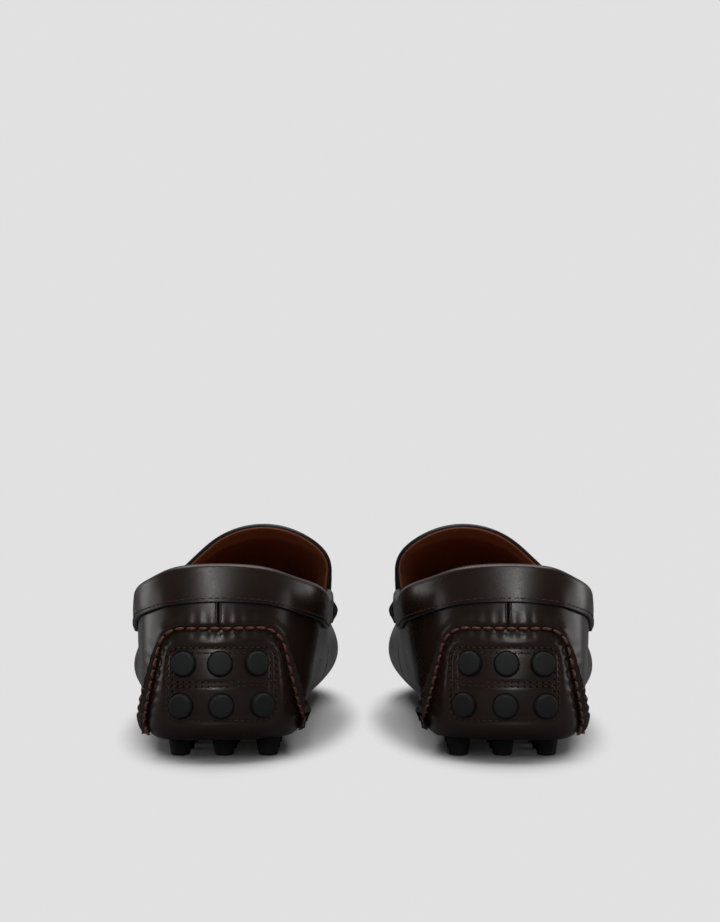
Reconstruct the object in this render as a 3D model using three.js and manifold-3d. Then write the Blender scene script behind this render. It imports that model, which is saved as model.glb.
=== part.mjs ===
// A pair of driving moccasins, millimetres, +Z up.
// Each shoe is built about its back seam: +Y runs to the toe and +X to the inner (medial) side of the left shoe.
// The right shoe is the left one mirrored. The origin is on the floor under the middle of the pair.
import * as THREE from "three";
import { mergeVertices } from "three/addons/utils/BufferGeometryUtils.js";
import Module from "manifold-3d";

const wasm = await Module();
wasm.setup();

// ---- Driving dimensions ----
const SEAM_SPACING = 108; // from one back seam to the other
const LENGTH = 288; // heel to toe tip
const HEEL_HALF = 33; // half the width at the widest part of the heel
const HEEL_AT = 38; // how far along that is
const HEEL_SQUARE = 0.8; // 1 makes the heel's outline an ellipse, less makes it squarer
const HEEL_SKEW = 0.1; // how much further forward the heel's inner side lies than its outer side
const WAIST_OUTER = 41;
const WAIST_INNER = 34;
const WAIST_AT = 88;
const THROAT_OUTER = 46;
const THROAT_INNER = 36;
const THROAT_AT = 124; // where the foot opening ends and the apron begins
const BALL_OUTER = 57;
const BALL_INNER = 39.5;
const BALL_AT = 186;
const TOE_CENTRE = 6; // the toe tip lies this far to the inner side
const TOE_DEPTH = 62; // length of the rounded toe
const TOE_OUTER = 57;
const TOE_INNER = 35;
const HEEL_TOP = 72; // height of the topline over the back seam
const QUARTER_TOP = 62;
const WAIST_TOP = 54;
const THROAT_TOP = 55;
const BALL_TOP = 50;
const TOE_TOP = 41;
const INSTEP_RISE = 37; // how steeply the apron arches at the throat
const TOE_RISE = 3.4; // and how far every row arches, fading out at the toe
const ARCH_FADE = 1.6; // how fast the arch sinks on the way to the toe
const ARCH_OUTER = 0.29; // where the arch's shoulders lie, as shares of the row's width
const ARCH_INNER = 0.055; // this one lies beyond the inner end at the throat
const ARCH_INNER_TOE = -0.33;
const ARCH_OUTER_LIFT = 0.97; // height of the outer shoulder against the inner one
const TONGUE_REACH = 10; // how far the tongue reaches back past the throat
const TONGUE_LIFT = 3; // and how far it lifts there
const STUD_HEIGHT = 7.4; // floor to leather
const TOE_SPRING = 9; // how far the sole lifts at the toe tip
const SPRING_FROM = 215; // where that lift begins
const WAIST_LIFT = 2;
const WAIST_MIDDLE = WAIST_AT + 18;
const WAIST_SPAN = 36; // half the length over which the waist lifts
const SOLE_FLAT = 0.6; // share of the sole's width that is flat
const HEEL_ROUNDING = 18; // length over which the bottom turns up at the back of the heel
const TOE_ROUNDING = 24; // and at the toe

const LEATHER = 1.4;
const LINING = 0.8;
const PAD = 1.4; // rubber behind the studs
const BOARD = 1.2;
const COUNTER = 1.2;
const PUFF = 1;
const FOOTBED = 2.5;
const GAP = 0.3; // between any two neighbours
const COLLAR_BAND = 12.6; // depth of the band down the outside
const BAND_LEATHER = 1.3;
const COLLAR_ROLL = 3; // how far the rolled edge stands over the topline
const ROLL_FLAT = 2.8; // width of its flat top

const PATCH_TOP = 50; // heel patch, seen from behind
const PATCH_TOP_HALF = 21;
const PATCH_SHIFT = 0.6; // towards the inner side
const PATCH_FOOT_HALF = 30;
const PATCH_FOOT = 9;
const PATCH_CORNER = 7;
const PATCH_SEAM = 0.6; // between the patch and the quarters

const BACK_STUD_RADIUS = 4.4;
const BACK_STUD_PROUD = 2.2;
const BACK_STUD_TAPER = 0.4;
// Shift is towards the inner side.
const BACK_STUD_ROWS = [
  { height: 21.7, pitch: 15, shift: 1 },
  { height: 37.3, pitch: 13.5, shift: 0.5 },
];
const BACK_PAD_FOOT = 15;
const SOLE_STUD_RADIUS = 4.6;
const SOLE_STUD_TIP = 3.7;
const SOLE_STUD_MARGIN = 7; // least distance from a stud's axis to the feather
const HEEL_STUDS = { from: 25, rows: 3, pitch: 17, columns: [-1, 0, 1] };
const FOREFOOT_STUDS = { from: 152, rows: 6, pitch: 18, columns: [-2, -1, 0, 1] };
const STUD_CLEARANCE = 0.35; // between a stud and its hole in the leather

const STRAP_STATIONS = [5.25, 5.5, 5.75];
const KEEPER_LENGTH = 22; // slot in the saddle strap
const KEEPER_TAPER = 0.8; // its front edge against its back edge
const KEEPER_WIDTH = 4.4;
const THREAD = 1; // diameter

// ---- The shoe's surface: three closed curves, through stations round the shoe ----
// Stations run from the back seam (0) round the outer side to the toe tip (10) and back by the inner side (20 = 0).
const STATIONS = 10;
const ROUND = 2 * STATIONS;
// Wall pieces are sampled this many times between one station and the next.
const STEPS = [2, 2, 2, 2, 2, 4, 2, 2, 3, 2];

// side is -1 on the outer side and 1 on the inner side.
function outlinePoints(side) {
  const pick = (outer, inner) => (side < 0 ? outer : inner);
  const heel = [0, 30, 60, 90].map((deg) => {
    const a = THREE.MathUtils.degToRad(deg);
    const across = side * HEEL_HALF * Math.sin(a) ** HEEL_SQUARE;
    const along = HEEL_AT * (1 - Math.max(0, Math.cos(a)) ** HEEL_SQUARE);
    return [across, along + HEEL_SKEW * across];
  });
  const toe = [90, 60, 30, 0].map((deg) => {
    const a = THREE.MathUtils.degToRad(deg);
    const reach = side * pick(TOE_OUTER, TOE_INNER) * Math.sin(a);
    return [TOE_CENTRE + reach, LENGTH - TOE_DEPTH * (1 - Math.cos(a))];
  });
  return [
    ...heel,
    [side * pick(WAIST_OUTER, WAIST_INNER), WAIST_AT],
    [side * pick(THROAT_OUTER, THROAT_INNER), THROAT_AT],
    [side * pick(BALL_OUTER, BALL_INNER), BALL_AT],
    ...toe,
  ];
}

// What each station adds to the outline: how far the sole's edge and the top lie inside it, and the heights.
// [feather inset, feather height, bulge height, top inset, top height]
const WALL_OUTER = [
  [6, 8, 28, 7, HEEL_TOP],
  [5, 8, 28, 5.5, HEEL_TOP - 1.2],
  [4, 8, 27, 2.5, HEEL_TOP - 5.5],
  [4.5, 8.5, 27, -1.5, QUARTER_TOP],
  [8.5, 10, 27, -0.5, WAIST_TOP],
  [8.5, 10, 27, 6, THROAT_TOP],
  [8.5, 9, 25, 18, BALL_TOP],
  [8.5, 10.5, 25.5, 18, BALL_TOP - 4],
  [9, 13.5, 26, 17, TOE_TOP + 2.5],
  [9, 15, 26.5, 15.5, TOE_TOP + 0.8],
  [9, 15.5, 27, 15, TOE_TOP],
];
const WALL_INNER = [
  WALL_OUTER[0],
  WALL_OUTER[1],
  [4, 8, 27, 1, HEEL_TOP - 5.5],
  [4.5, 8.5, 27, -4, QUARTER_TOP],
  [8.5, 12, 29, -4.5, WAIST_TOP + 1.5],
  [8, 11, 28, -2.5, THROAT_TOP + 2],
  [8, 9, 25, 9, BALL_TOP + 2],
  [8, 10.5, 25.5, 10.5, BALL_TOP - 3],
  [9, 13.5, 26, 13, TOE_TOP + 3.2],
  [9, 15, 26.5, 14.5, TOE_TOP + 1],
  WALL_OUTER[10],
];

const roundTrip = (outer, inner) => [
  ...outer,
  ...inner.slice(1, STATIONS).reverse(),
];

function closedCurve(points) {
  return new THREE.CatmullRomCurve3(points, true, "catmullrom", 0.5);
}

function buildCurves() {
  const plan = roundTrip(outlinePoints(-1), outlinePoints(1));
  const wall = roundTrip(WALL_OUTER, WALL_INNER);
  const flat = closedCurve(plan.map(([x, y]) => new THREE.Vector3(x, y, 0)));
  const level = (inset, height) =>
    closedCurve(
      plan.map(([x, y], k) => {
        const along = flat.getTangent(k / ROUND);
        return new THREE.Vector3(
          x + along.y * wall[k][inset],
          y - along.x * wall[k][inset],
          wall[k][height],
        );
      }),
    );
  const outline = plan.map(([x, y], k) => new THREE.Vector3(x, y, wall[k][2]));
  return {
    feather: level(0, 1),
    bulge: closedCurve(outline),
    top: level(3, 4),
  };
}

const curves = buildCurves();
const share = (station) => (((station % ROUND) + ROUND) % ROUND) / ROUND;
const feather = (station) => curves.feather.getPoint(share(station));
const topEdge = (station) => curves.top.getPoint(share(station));

// The wall at a station: a quadratic curve from the feather through the bulge to the top.
function wallSurface(station, v) {
  const foot = feather(station);
  const head = topEdge(station);
  const pull = curves.bulge.getPoint(share(station)).multiplyScalar(2);
  pull.addScaledVector(foot, -0.5).addScaledVector(head, -0.5);
  return foot
    .multiplyScalar((1 - v) ** 2)
    .addScaledVector(pull, 2 * v * (1 - v))
    .addScaledVector(head, v ** 2);
}

function wallNormal(station, v) {
  const d = 0.01;
  const along = wallSurface(station + d, v).sub(wallSurface(station - d, v));
  const up = wallSurface(station, v + d).sub(wallSurface(station, v - d));
  return up.cross(along).normalize();
}

// out is how far outside the wall's surface the point lies.
function wallPoint(station, v, out) {
  return wallSurface(station, v).addScaledVector(wallNormal(station, v), out);
}

const rise = (station) =>
  wallSurface(station, 1).distanceTo(wallSurface(station, 0.99)) * 100;
const bandFoot = (station) => 1 - COLLAR_BAND / rise(station);

const WALL_FOOT = 0.012; // a gap's width over the feather, as a share of the wall

// Rows from the feather to the top, one of them at the foot of the collar band. All the wall's layers share them.
function wallRows(station) {
  const foot = bandFoot(station);
  return [WALL_FOOT, foot / 3, (2 * foot) / 3, foot, 1];
}

// The stations sampled between two limits, the limits among them.
function stationsBetween(from, to) {
  const list = [from];
  for (let k = Math.floor(from); k < to; k += 1) {
    const interval = ((k % ROUND) + ROUND) % ROUND;
    const steps = STEPS[interval < STATIONS ? interval : ROUND - 1 - interval];
    for (let i = 0; i < steps; i += 1) {
      const at = k + i / steps;
      if (at > from + 0.02 && at < to - 0.02) list.push(at);
    }
  }
  return [...list, to];
}

// ---- Solids ----
function signedVolume(position, index) {
  let total = 0;
  const corners = [0, 1, 2].map(() => new THREE.Vector3());
  for (let i = 0; i < index.length; i += 3) {
    corners.forEach((c, k) => c.fromBufferAttribute(position, index[i + k]));
    total += corners[0].dot(corners[1].cross(corners[2]));
  }
  return total / 6;
}

// A closed solid from corner points and faces: shared corners are merged and empty faces dropped.
function solidFrom(points, faces) {
  const raw = new THREE.BufferGeometry().setFromPoints(points);
  raw.setIndex(faces.flat());
  const merged = mergeVertices(raw, 1e-4);
  const all = merged.index.array;
  const kept = [];
  for (let i = 0; i < all.length; i += 3) {
    const [a, b, c] = all.slice(i, i + 3);
    if (a !== b && b !== c && c !== a) kept.push([a, b, c]);
  }
  const inward = signedVolume(merged.attributes.position, kept.flat()) < 0;
  merged.setIndex(kept.map(([a, b, c]) => (inward ? [a, c, b] : [a, b, c])).flat());
  return merged;
}

const quad = (a, b, c, d) => [
  [a, b, c],
  [a, c, d],
];

// A sheet with thickness, between two grids of points with the same rows and columns.
function slab(outer, inner) {
  const rows = outer.length;
  const columns = outer[0].length;
  const points = [...outer.flat(), ...inner.flat()];
  const under = rows * columns;
  const at = (i, j) => i * columns + j;
  const faces = [];
  for (let i = 0; i < rows - 1; i += 1) {
    for (let j = 0; j < columns - 1; j += 1) {
      const [a, b] = [at(i, j), at(i + 1, j)];
      const [c, d] = [at(i + 1, j + 1), at(i, j + 1)];
      faces.push(...quad(a, b, c, d));
      faces.push(...quad(under + a, under + d, under + c, under + b));
    }
  }
  const rim = [];
  for (let i = 0; i < rows - 1; i += 1) rim.push(at(i, 0));
  for (let j = 0; j < columns - 1; j += 1) rim.push(at(rows - 1, j));
  for (let i = rows - 1; i > 0; i -= 1) rim.push(at(i, columns - 1));
  for (let j = columns - 1; j > 0; j -= 1) rim.push(at(0, j));
  rim.forEach((a, k) => {
    const b = rim[(k + 1) % rim.length];
    faces.push(...quad(b, a, under + a, under + b));
  });
  return solidFrom(points, faces);
}

// A section of points carried along, the same number in each place.
// Each face's diagonal runs from a lower point to a higher one, as a slab's does, so layers stay parallel.
function sweep(sections) {
  const count = sections[0].length;
  const faces = [];
  for (let i = 0; i < sections.length - 1; i += 1) {
    for (let j = 0; j < count; j += 1) {
      const next = (j + 1) % count;
      const [a, b] = [i * count + j, i * count + next];
      const climbs = sections[i][next].z > sections[i][j].z;
      if (climbs) faces.push(...quad(a, b, b + count, a + count));
      else faces.push(...quad(b, b + count, a + count, a));
    }
  }
  const cap = (first) => {
    const flat = sections[first].map((p) => p.clone());
    return capFaces(flat).map((face) => face.map((k) => first * count + k));
  };
  const start = cap(0);
  const end = cap(sections.length - 1).map(([a, b, c]) => [a, c, b]);
  return solidFrom(sections.flat(), [...faces, ...start, ...end]);
}

// Triangles over one section, wound against the side faces that meet them.
function capFaces(section) {
  const middle = new THREE.Vector3();
  section.forEach((p) => middle.addScaledVector(p, 1 / section.length));
  const normal = new THREE.Vector3();
  section.forEach((p, k) => {
    const next = section[(k + 1) % section.length];
    normal.add(p.clone().sub(middle).cross(next.clone().sub(middle)));
  });
  normal.normalize();
  const across = section[1].clone().sub(section[0]).normalize();
  const up = normal.clone().cross(across);
  const flat = section.map(
    (p) => new THREE.Vector2(p.dot(across), p.dot(up)),
  );
  return THREE.ShapeUtils.triangulateShape(flat, []).map(([a, b, c]) => [a, c, b]);
}

function toManifold(geometry) {
  const bare = geometry.clone();
  bare.deleteAttribute("normal");
  bare.deleteAttribute("uv");
  const merged = mergeVertices(bare, 1e-4);
  const mesh = new wasm.Mesh({
    numProp: 3,
    vertProperties: merged.attributes.position.array,
    triVerts: new Uint32Array(merged.index.array),
  });
  return new wasm.Manifold(mesh);
}

function toGeometry(manifold) {
  const mesh = manifold.getMesh();
  const geometry = new THREE.BufferGeometry();
  geometry.setAttribute(
    "position",
    new THREE.BufferAttribute(mesh.vertProperties, 3),
  );
  geometry.setIndex(new THREE.BufferAttribute(mesh.triVerts, 1));
  return geometry;
}

// ---- Pieces of the wall ----
function wallSlab(from, to, rowsAt, outside, thickness) {
  const grid = (out) =>
    stationsBetween(from, to).map((s) =>
      rowsAt(s).map((v) => wallPoint(s, v, out)),
    );
  return slab(grid(outside), grid(outside - thickness));
}

// The inner layers behind the outer leather, as distances from the wall's surface.
const BEHIND_LEATHER = -(LEATHER + GAP);
const BEHIND_PAD = BEHIND_LEATHER - PAD - GAP;
const BEHIND_COUNTER = BEHIND_PAD - COUNTER - GAP;
const BEHIND_PUFF = BEHIND_LEATHER - PUFF - GAP;
const SEAM_HALF = 0.012; // half a gap between two wall pieces, in stations
const WALL_JOINT = 5.5; // where the quarters meet the vamp wall, under the saddle strap

// An outline seen from behind, pushed through the heel.
function throughHeel(shape) {
  const geometry = new THREE.ExtrudeGeometry(shape, {
    depth: HEEL_AT + 22,
    bevelEnabled: false,
    curveSegments: 3,
  });
  geometry.rotateX(Math.PI / 2);
  geometry.translate(0, HEEL_AT, 0);
  return toManifold(geometry);
}

// The heel patch's outline, grown or shrunk all round, from a given foot upwards.
function patchShape(grow, foot = PATCH_FOOT - 14) {
  const lean = (PATCH_FOOT_HALF - PATCH_TOP_HALF) / (PATCH_TOP - PATCH_FOOT);
  const half = (z) => PATCH_TOP_HALF + grow + (PATCH_TOP - z) * lean;
  const top = PATCH_TOP + grow;
  const below = top - PATCH_CORNER;
  const mid = PATCH_SHIFT;
  const shape = new THREE.Shape();
  shape.moveTo(mid - half(foot), foot);
  shape.lineTo(mid + half(foot), foot);
  shape.lineTo(mid + half(below), below);
  shape.quadraticCurveTo(mid + half(top), top, mid + half(top) - PATCH_CORNER, top);
  shape.lineTo(mid + PATCH_CORNER - half(top), top);
  shape.quadraticCurveTo(mid - half(top), top, mid - half(below), below);
  return shape;
}

// Where the wall has a given distance across and a given height, at the heel.
function heelPlace(across, height) {
  let station = 0;
  let v = 0.5;
  for (let turn = 0; turn < 12; turn += 1) {
    const here = wallSurface(station, v);
    const side = wallSurface(station + 0.02, v).x - here.x;
    const climb = wallSurface(station, v + 0.02).z - here.z;
    station += (0.02 * (across - here.x)) / side;
    v += (0.02 * (height - here.z)) / climb;
  }
  return [station, v];
}

function quarter(side) {
  const from = side < 0 ? SEAM_HALF : ROUND - WALL_JOINT + SEAM_HALF;
  const to = side < 0 ? WALL_JOINT - SEAM_HALF : ROUND - SEAM_HALF;
  const full = toManifold(wallSlab(from, to, wallRows, 0, LEATHER));
  return toGeometry(full.subtract(throughHeel(patchShape(PATCH_SEAM))));
}

function vampWall() {
  const from = WALL_JOINT + SEAM_HALF;
  return wallSlab(from, ROUND - from, wallRows, 0, LEATHER);
}

function quarterLining() {
  return wallSlab(-5 + SEAM_HALF, 5 - SEAM_HALF, wallRows, BEHIND_COUNTER, LINING);
}

function heelCounter() {
  const rows = (s) => [...wallRows(s).slice(1, 3), bandFoot(s) - 0.02];
  return wallSlab(-3.5, 3.5, rows, BEHIND_PAD, COUNTER);
}

function collarFoam() {
  const rows = (s) => wallRows(s).slice(3);
  const thickness = BEHIND_LEATHER - BEHIND_COUNTER - GAP;
  return wallSlab(-5 + SEAM_HALF, 5 - SEAM_HALF, rows, BEHIND_LEATHER, thickness);
}

function vampLining() {
  return wallSlab(5 + SEAM_HALF, 15 - SEAM_HALF, wallRows, BEHIND_PUFF, LINING);
}

function toePuff() {
  const rows = (s) => wallRows(s).slice(1);
  return wallSlab(7.5, 12.5, rows, BEHIND_LEATHER, PUFF);
}

// The band folds over the topline: outer leaf, rolled edge, inner leaf.
function collarSection(s) {
  const foot = bandFoot(s);
  const leaf = BAND_LEATHER + GAP;
  const inside = BEHIND_COUNTER - LINING - GAP;
  const middle = (inside + GAP) / 2;
  const over = (out, up) => wallPoint(s, 1, out).add(new THREE.Vector3(0, 0, up));
  return [
    wallPoint(s, foot, leaf),
    wallPoint(s, 1, leaf),
    over(leaf * 0.7, COLLAR_ROLL * 0.6),
    over(middle + ROLL_FLAT / 2, COLLAR_ROLL),
    over(middle - ROLL_FLAT / 2, COLLAR_ROLL),
    over(inside - BAND_LEATHER * 0.7, COLLAR_ROLL * 0.5),
    wallPoint(s, 1, inside - BAND_LEATHER),
    wallPoint(s, foot, inside - BAND_LEATHER),
    wallPoint(s, foot, inside),
    over(inside, GAP),
    over(middle, COLLAR_ROLL - BAND_LEATHER),
    over(GAP, GAP),
    wallPoint(s, foot, GAP),
  ];
}

function collarBand() {
  return sweep(stationsBetween(-5 + SEAM_HALF, 5 - SEAM_HALF).map(collarSection));
}

// The strip over the two quarters' edges, between the heel patch and the band.
function backSeamWelt() {
  const foot = heelPlace(0, PATCH_TOP + PATCH_SEAM + 0.6)[1];
  const head = bandFoot(0) - 0.01;
  const grid = (out) =>
    [-0.1, 0.1].map((s) => [foot, head].map((v) => wallPoint(s, v, out)));
  return slab(grid(GAP + 0.8), grid(GAP));
}

// ---- Pieces of the bottom ----
function soleLevel(y) {
  const spring = Math.max(0, (y - SPRING_FROM) / (LENGTH - SPRING_FROM));
  const arch = Math.max(0, 1 - ((y - WAIST_MIDDLE) / WAIST_SPAN) ** 2) ** 2;
  return STUD_HEIGHT + TOE_SPRING * spring ** 2 + WAIST_LIFT * arch;
}

// The bottom between the feather's two sides: t runs from the outer side to the inner, up is into the shoe.
function solePoint(station, t, up) {
  const outer = wallPoint(station, 0, -up);
  const inner = wallPoint(ROUND - station, 0, -up);
  const p = outer.lerp(inner, t);
  const fromHeel = Math.max(0, 1 - (p.y - feather(0).y) / HEEL_ROUNDING);
  const fromToe = Math.max(0, 1 - (feather(STATIONS).y - p.y) / TOE_ROUNDING);
  const side = Math.max(0, (Math.abs(2 * t - 1) - SOLE_FLAT) / (1 - SOLE_FLAT)) ** 2;
  const edge = 1 - (1 - side) * (1 - fromHeel ** 2) * (1 - fromToe ** 2);
  p.z = THREE.MathUtils.lerp(soleLevel(p.y) + up, p.z, edge);
  return p;
}

const FLAT_FROM = (1 - SOLE_FLAT) / 2;
const LEATHER_COLUMNS = [0, 0.4 * FLAT_FROM, FLAT_FROM, 1 - FLAT_FROM, 1 - 0.4 * FLAT_FROM, 1];
const INNER_MARGIN = 4; // how far inside the feather the inner layers stop
const INNER_COLUMNS = [0, FLAT_FROM, 1 - FLAT_FROM, 1];

// A layer of the bottom between two stations, drawn in from the feather by a margin.
function soleLayer(from, to, up, thickness, margin, columns = INNER_COLUMNS) {
  const grid = (height) =>
    stationsBetween(from, to).map((s) => {
      const width = feather(s).distanceTo(feather(ROUND - s));
      const start = width > 0 ? Math.min(0.45, margin / width) : 0;
      return columns.map((c) => solePoint(s, start + c * (1 - 2 * start), height));
    });
  return slab(grid(up), grid(up + thickness));
}

const ABOVE_LEATHER = LEATHER + GAP;
const ABOVE_PAD = ABOVE_LEATHER + PAD + GAP;
const ABOVE_BOARD = ABOVE_PAD + BOARD + GAP;
const ABOVE_FOOTBED = ABOVE_BOARD + FOOTBED + GAP;

// A stud from its root to its tip, about a direction.
function stud(root, direction, length, rootRadius, tipRadius, sides) {
  const shape = new THREE.CylinderGeometry(tipRadius, rootRadius, length, sides);
  shape.translate(0, length / 2, 0);
  const turn = new THREE.Quaternion().setFromUnitVectors(
    new THREE.Vector3(0, 1, 0),
    direction,
  );
  shape.applyQuaternion(turn);
  shape.translate(root.x, root.y, root.z);
  return toManifold(shape);
}

function backStuds(grow) {
  const studs = [];
  for (const { height, pitch, shift } of BACK_STUD_ROWS) {
    for (const column of [-1, 0, 1]) {
      const [s, v] = heelPlace(shift + column * pitch, height);
      const root = wallPoint(s, v, BEHIND_LEATHER - PAD / 2);
      const length = -BEHIND_LEATHER + PAD / 2 + BACK_STUD_PROUD + grow;
      const radius = BACK_STUD_RADIUS + grow;
      studs.push(stud(root, wallNormal(s, v), length, radius, radius - BACK_STUD_TAPER, 8));
    }
  }
  return studs;
}

// The bottom's place under a point of the floor plan, found on the ladder of stations.
function soleHeight(x, y) {
  let [low, high] = [0, STATIONS];
  for (let turn = 0; turn < 24; turn += 1) {
    const middle = (low + high) / 2;
    if (solePoint(middle, 0.5, 0).y < y) low = middle;
    else high = middle;
  }
  const left = feather(low);
  const right = feather(ROUND - low);
  return { z: soleLevel(y), margin: Math.min(x - left.x, right.x - x) };
}

function soleStuds(layout, grow) {
  const studs = [];
  const down = new THREE.Vector3(0, 0, -1);
  for (let i = 0; i < layout.rows; i += 1) {
    const y = layout.from + i * layout.pitch;
    for (const column of layout.columns) {
      const x = column * layout.pitch;
      const { z, margin } = soleHeight(x, y);
      if (margin < SOLE_STUD_MARGIN) continue;
      const root = new THREE.Vector3(x, y, z + ABOVE_LEATHER + PAD / 2);
      const length = STUD_HEIGHT + ABOVE_LEATHER + PAD / 2;
      const wide = SOLE_STUD_RADIUS + grow;
      studs.push(stud(root, down, length + grow, wide, SOLE_STUD_TIP + grow, 6));
    }
  }
  return studs;
}

// One hide: the bottom, wrapped up the back of the heel as the patch, with a hole for each stud.
function soleLeather() {
  const bottom = toManifold(soleLayer(0, STATIONS, 0, LEATHER, 0, LEATHER_COLUMNS));
  const rows = (s) => [0, ...wallRows(s).slice(1, 4)];
  const back = toManifold(wallSlab(-3, 3, rows, 0, LEATHER));
  let hide = bottom.add(back.intersect(throughHeel(patchShape(0))));
  const holes = [
    ...backStuds(STUD_CLEARANCE),
    ...soleStuds(HEEL_STUDS, STUD_CLEARANCE),
    ...soleStuds(FOREFOOT_STUDS, STUD_CLEARANCE),
  ];
  for (const hole of holes) hide = hide.subtract(hole);
  return toGeometry(hide);
}

function backStudPad() {
  let pad = toManifold(wallSlab(-2.5, 2.5, wallRows, BEHIND_LEATHER, PAD));
  pad = pad.intersect(throughHeel(patchShape(-2.5, BACK_PAD_FOOT)));
  for (const piece of backStuds(0)) pad = pad.add(piece);
  return toGeometry(pad);
}

function soleStudPad(from, to, layout) {
  let pad = toManifold(soleLayer(from, to, ABOVE_LEATHER, PAD, INNER_MARGIN));
  for (const piece of soleStuds(layout, 0)) pad = pad.add(piece);
  return toGeometry(pad);
}

// ---- Pieces of the top ----
const APRON_MARGIN = LEATHER + GAP + 0.2; // from the seam line to the apron's edge
const ARCH_SPREAD = 1.35; // how much longer the arch is than its span, near the throat
const ARCH_SPREAD_TO = 6; // the station where that ends
const APRON_END = 9; // the last station with a row of the apron
const APRON_COLUMNS = [0, 0.14, 0.32, 0.52, 0.7, 0.87, 1];
const LINING_DRAWN_IN = 0.4; // how far the apron lining's edge stops short, as a share of the last column

// A row of the apron: an arch from the outer seam to the inner one, steep at the throat and flat at the toe.
function apronPoint(station, t, up) {
  const outer = topEdge(station);
  const inner = topEdge(ROUND - station);
  const forward = (station - 5) / (STATIONS - 5);
  const fade = (1 - forward) ** ARCH_FADE;
  const width = inner.x - outer.x;
  const lift = INSTEP_RISE * fade + TOE_RISE * (1 - forward);
  const near = outer.clone();
  near.x += width * ARCH_OUTER;
  near.z += lift * ARCH_OUTER_LIFT;
  const far = inner.clone();
  far.x += width * THREE.MathUtils.lerp(ARCH_INNER_TOE, ARCH_INNER, fade);
  far.z += lift;
  const arch = new THREE.CubicBezierCurve3(outer, near, far, inner);
  const p = arch.getPoint(t);
  const slope = arch.getTangent(t);
  return p.addScaledVector(new THREE.Vector3(-slope.z, 0, slope.x), up);
}

// The tongue's free edge, behind the throat row.
function tonguePoint(t, up) {
  const p = apronPoint(5, t, up);
  const reach = Math.sin(Math.PI * t);
  return p.add(new THREE.Vector3(0, -TONGUE_REACH * reach, TONGUE_LIFT * reach));
}

// Where the apron's columns lie across a row, clear of the seam at both ends.
function apronShares(station) {
  const width = topEdge(station).distanceTo(topEdge(ROUND - station));
  const start = APRON_MARGIN / width / (station < ARCH_SPREAD_TO ? ARCH_SPREAD : 1);
  return APRON_COLUMNS.map((c) => start + c * (1 - 2 * start));
}

// Both ends of a row moved in, along the row's own straight faces.
function drawnIn(row, amount) {
  const [first, last] = [row[0], row[row.length - 1]];
  const start = first.clone().lerp(row[1], amount);
  const end = last.clone().lerp(row[row.length - 2], amount);
  return [start, ...row.slice(1, -1), end];
}

function apronLayer(up, thickness, amount) {
  const grid = (height) => {
    const edge = apronShares(5).map((t) => tonguePoint(t, height));
    const rows = stationsBetween(5, APRON_END).map((s) =>
      apronShares(s).map((t) => apronPoint(s, t, height)),
    );
    return [edge, ...rows].map((row) => drawnIn(row, amount));
  };
  return slab(grid(up), grid(up - thickness));
}

const apron = () => apronLayer(0, LEATHER, 0);
const apronLining = () => apronLayer(BEHIND_LEATHER, LINING, LINING_DRAWN_IN);

// The saddle strap crosses the instep and runs down both walls.
function strapRow(station, out) {
  const foot = (s) => wallPoint(s, bandFoot(s), out);
  const corner = (s) => wallPoint(s, 1, out).add(new THREE.Vector3(0, 0, out / 2));
  const over = apronShares(station).map((t) => apronPoint(station, t, out));
  return [
    foot(station),
    corner(station),
    ...over,
    corner(ROUND - station),
    foot(ROUND - station),
  ];
}

function saddleStrap() {
  const grid = (out) => STRAP_STATIONS.map((s) => strapRow(s, out));
  const strap = toManifold(slab(grid(GAP + LEATHER), grid(GAP)));
  const slot = new THREE.Shape();
  const half = KEEPER_LENGTH / 2;
  slot.moveTo(-half, -KEEPER_WIDTH / 2);
  slot.lineTo(half, -KEEPER_WIDTH / 2);
  slot.lineTo(half * KEEPER_TAPER, KEEPER_WIDTH / 2);
  slot.lineTo(-half * KEEPER_TAPER, KEEPER_WIDTH / 2);
  const depth = 40;
  const cutter = new THREE.ExtrudeGeometry(slot, { depth, bevelEnabled: false });
  const middle = apronPoint(WALL_JOINT, APRON_COLUMNS[3], 0);
  cutter.translate(middle.x, middle.y, middle.z - depth / 2);
  return toGeometry(strap.subtract(toManifold(cutter)));
}

// ---- Threads ----
function thread(points, steps) {
  const section = new THREE.Shape();
  for (let k = 0; k < 5; k += 1) {
    const a = (2 * Math.PI * k) / 5;
    const [x, y] = [(THREAD / 2) * Math.cos(a), (THREAD / 2) * Math.sin(a)];
    if (k === 0) section.moveTo(x, y);
    else section.lineTo(x, y);
  }
  const geometry = new THREE.ExtrudeGeometry(section, {
    steps,
    bevelEnabled: false,
    extrudePath: new THREE.CatmullRomCurve3(points),
  });
  geometry.deleteAttribute("normal");
  geometry.deleteAttribute("uv");
  return mergeVertices(geometry, 1e-4);
}

const THREAD_OUT = GAP + THREAD / 2 + 0.2; // clear of the leather's flat faces

function mocSeamThread() {
  const from = STRAP_STATIONS[2] + 0.06;
  const points = stationsBetween(from, ROUND - from).map((s) => wallPoint(s, 1, THREAD_OUT));
  return thread(points, points.length + 4);
}

function heelPatchThread() {
  const outline = patchShape(PATCH_SEAM / 2).getSpacedPoints(40);
  const above = outline.filter((p) => p.y > PATCH_FOOT + 4);
  const points = above.map((p) => {
    const [s, v] = heelPlace(p.x, p.y);
    return wallPoint(s, v, THREAD_OUT);
  });
  return thread(points, points.length);
}

// ---- Materials ----
const finish = (color, roughness, metalness = 0) =>
  new THREE.MeshStandardMaterial({ color, roughness, metalness });
const calf = finish(0x35261f, 0.38);
const liningLeather = finish(0x6b3a1e, 0.55);
const rubber = finish(0x1f2022, 0.75);
const board = finish(0x8a7256, 0.9);
const foam = finish(0xc9bfae, 0.95);
const stiffener = finish(0x9a8f7e, 0.85);
const threadFinish = finish(0x6a3b2a, 0.6);

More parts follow.
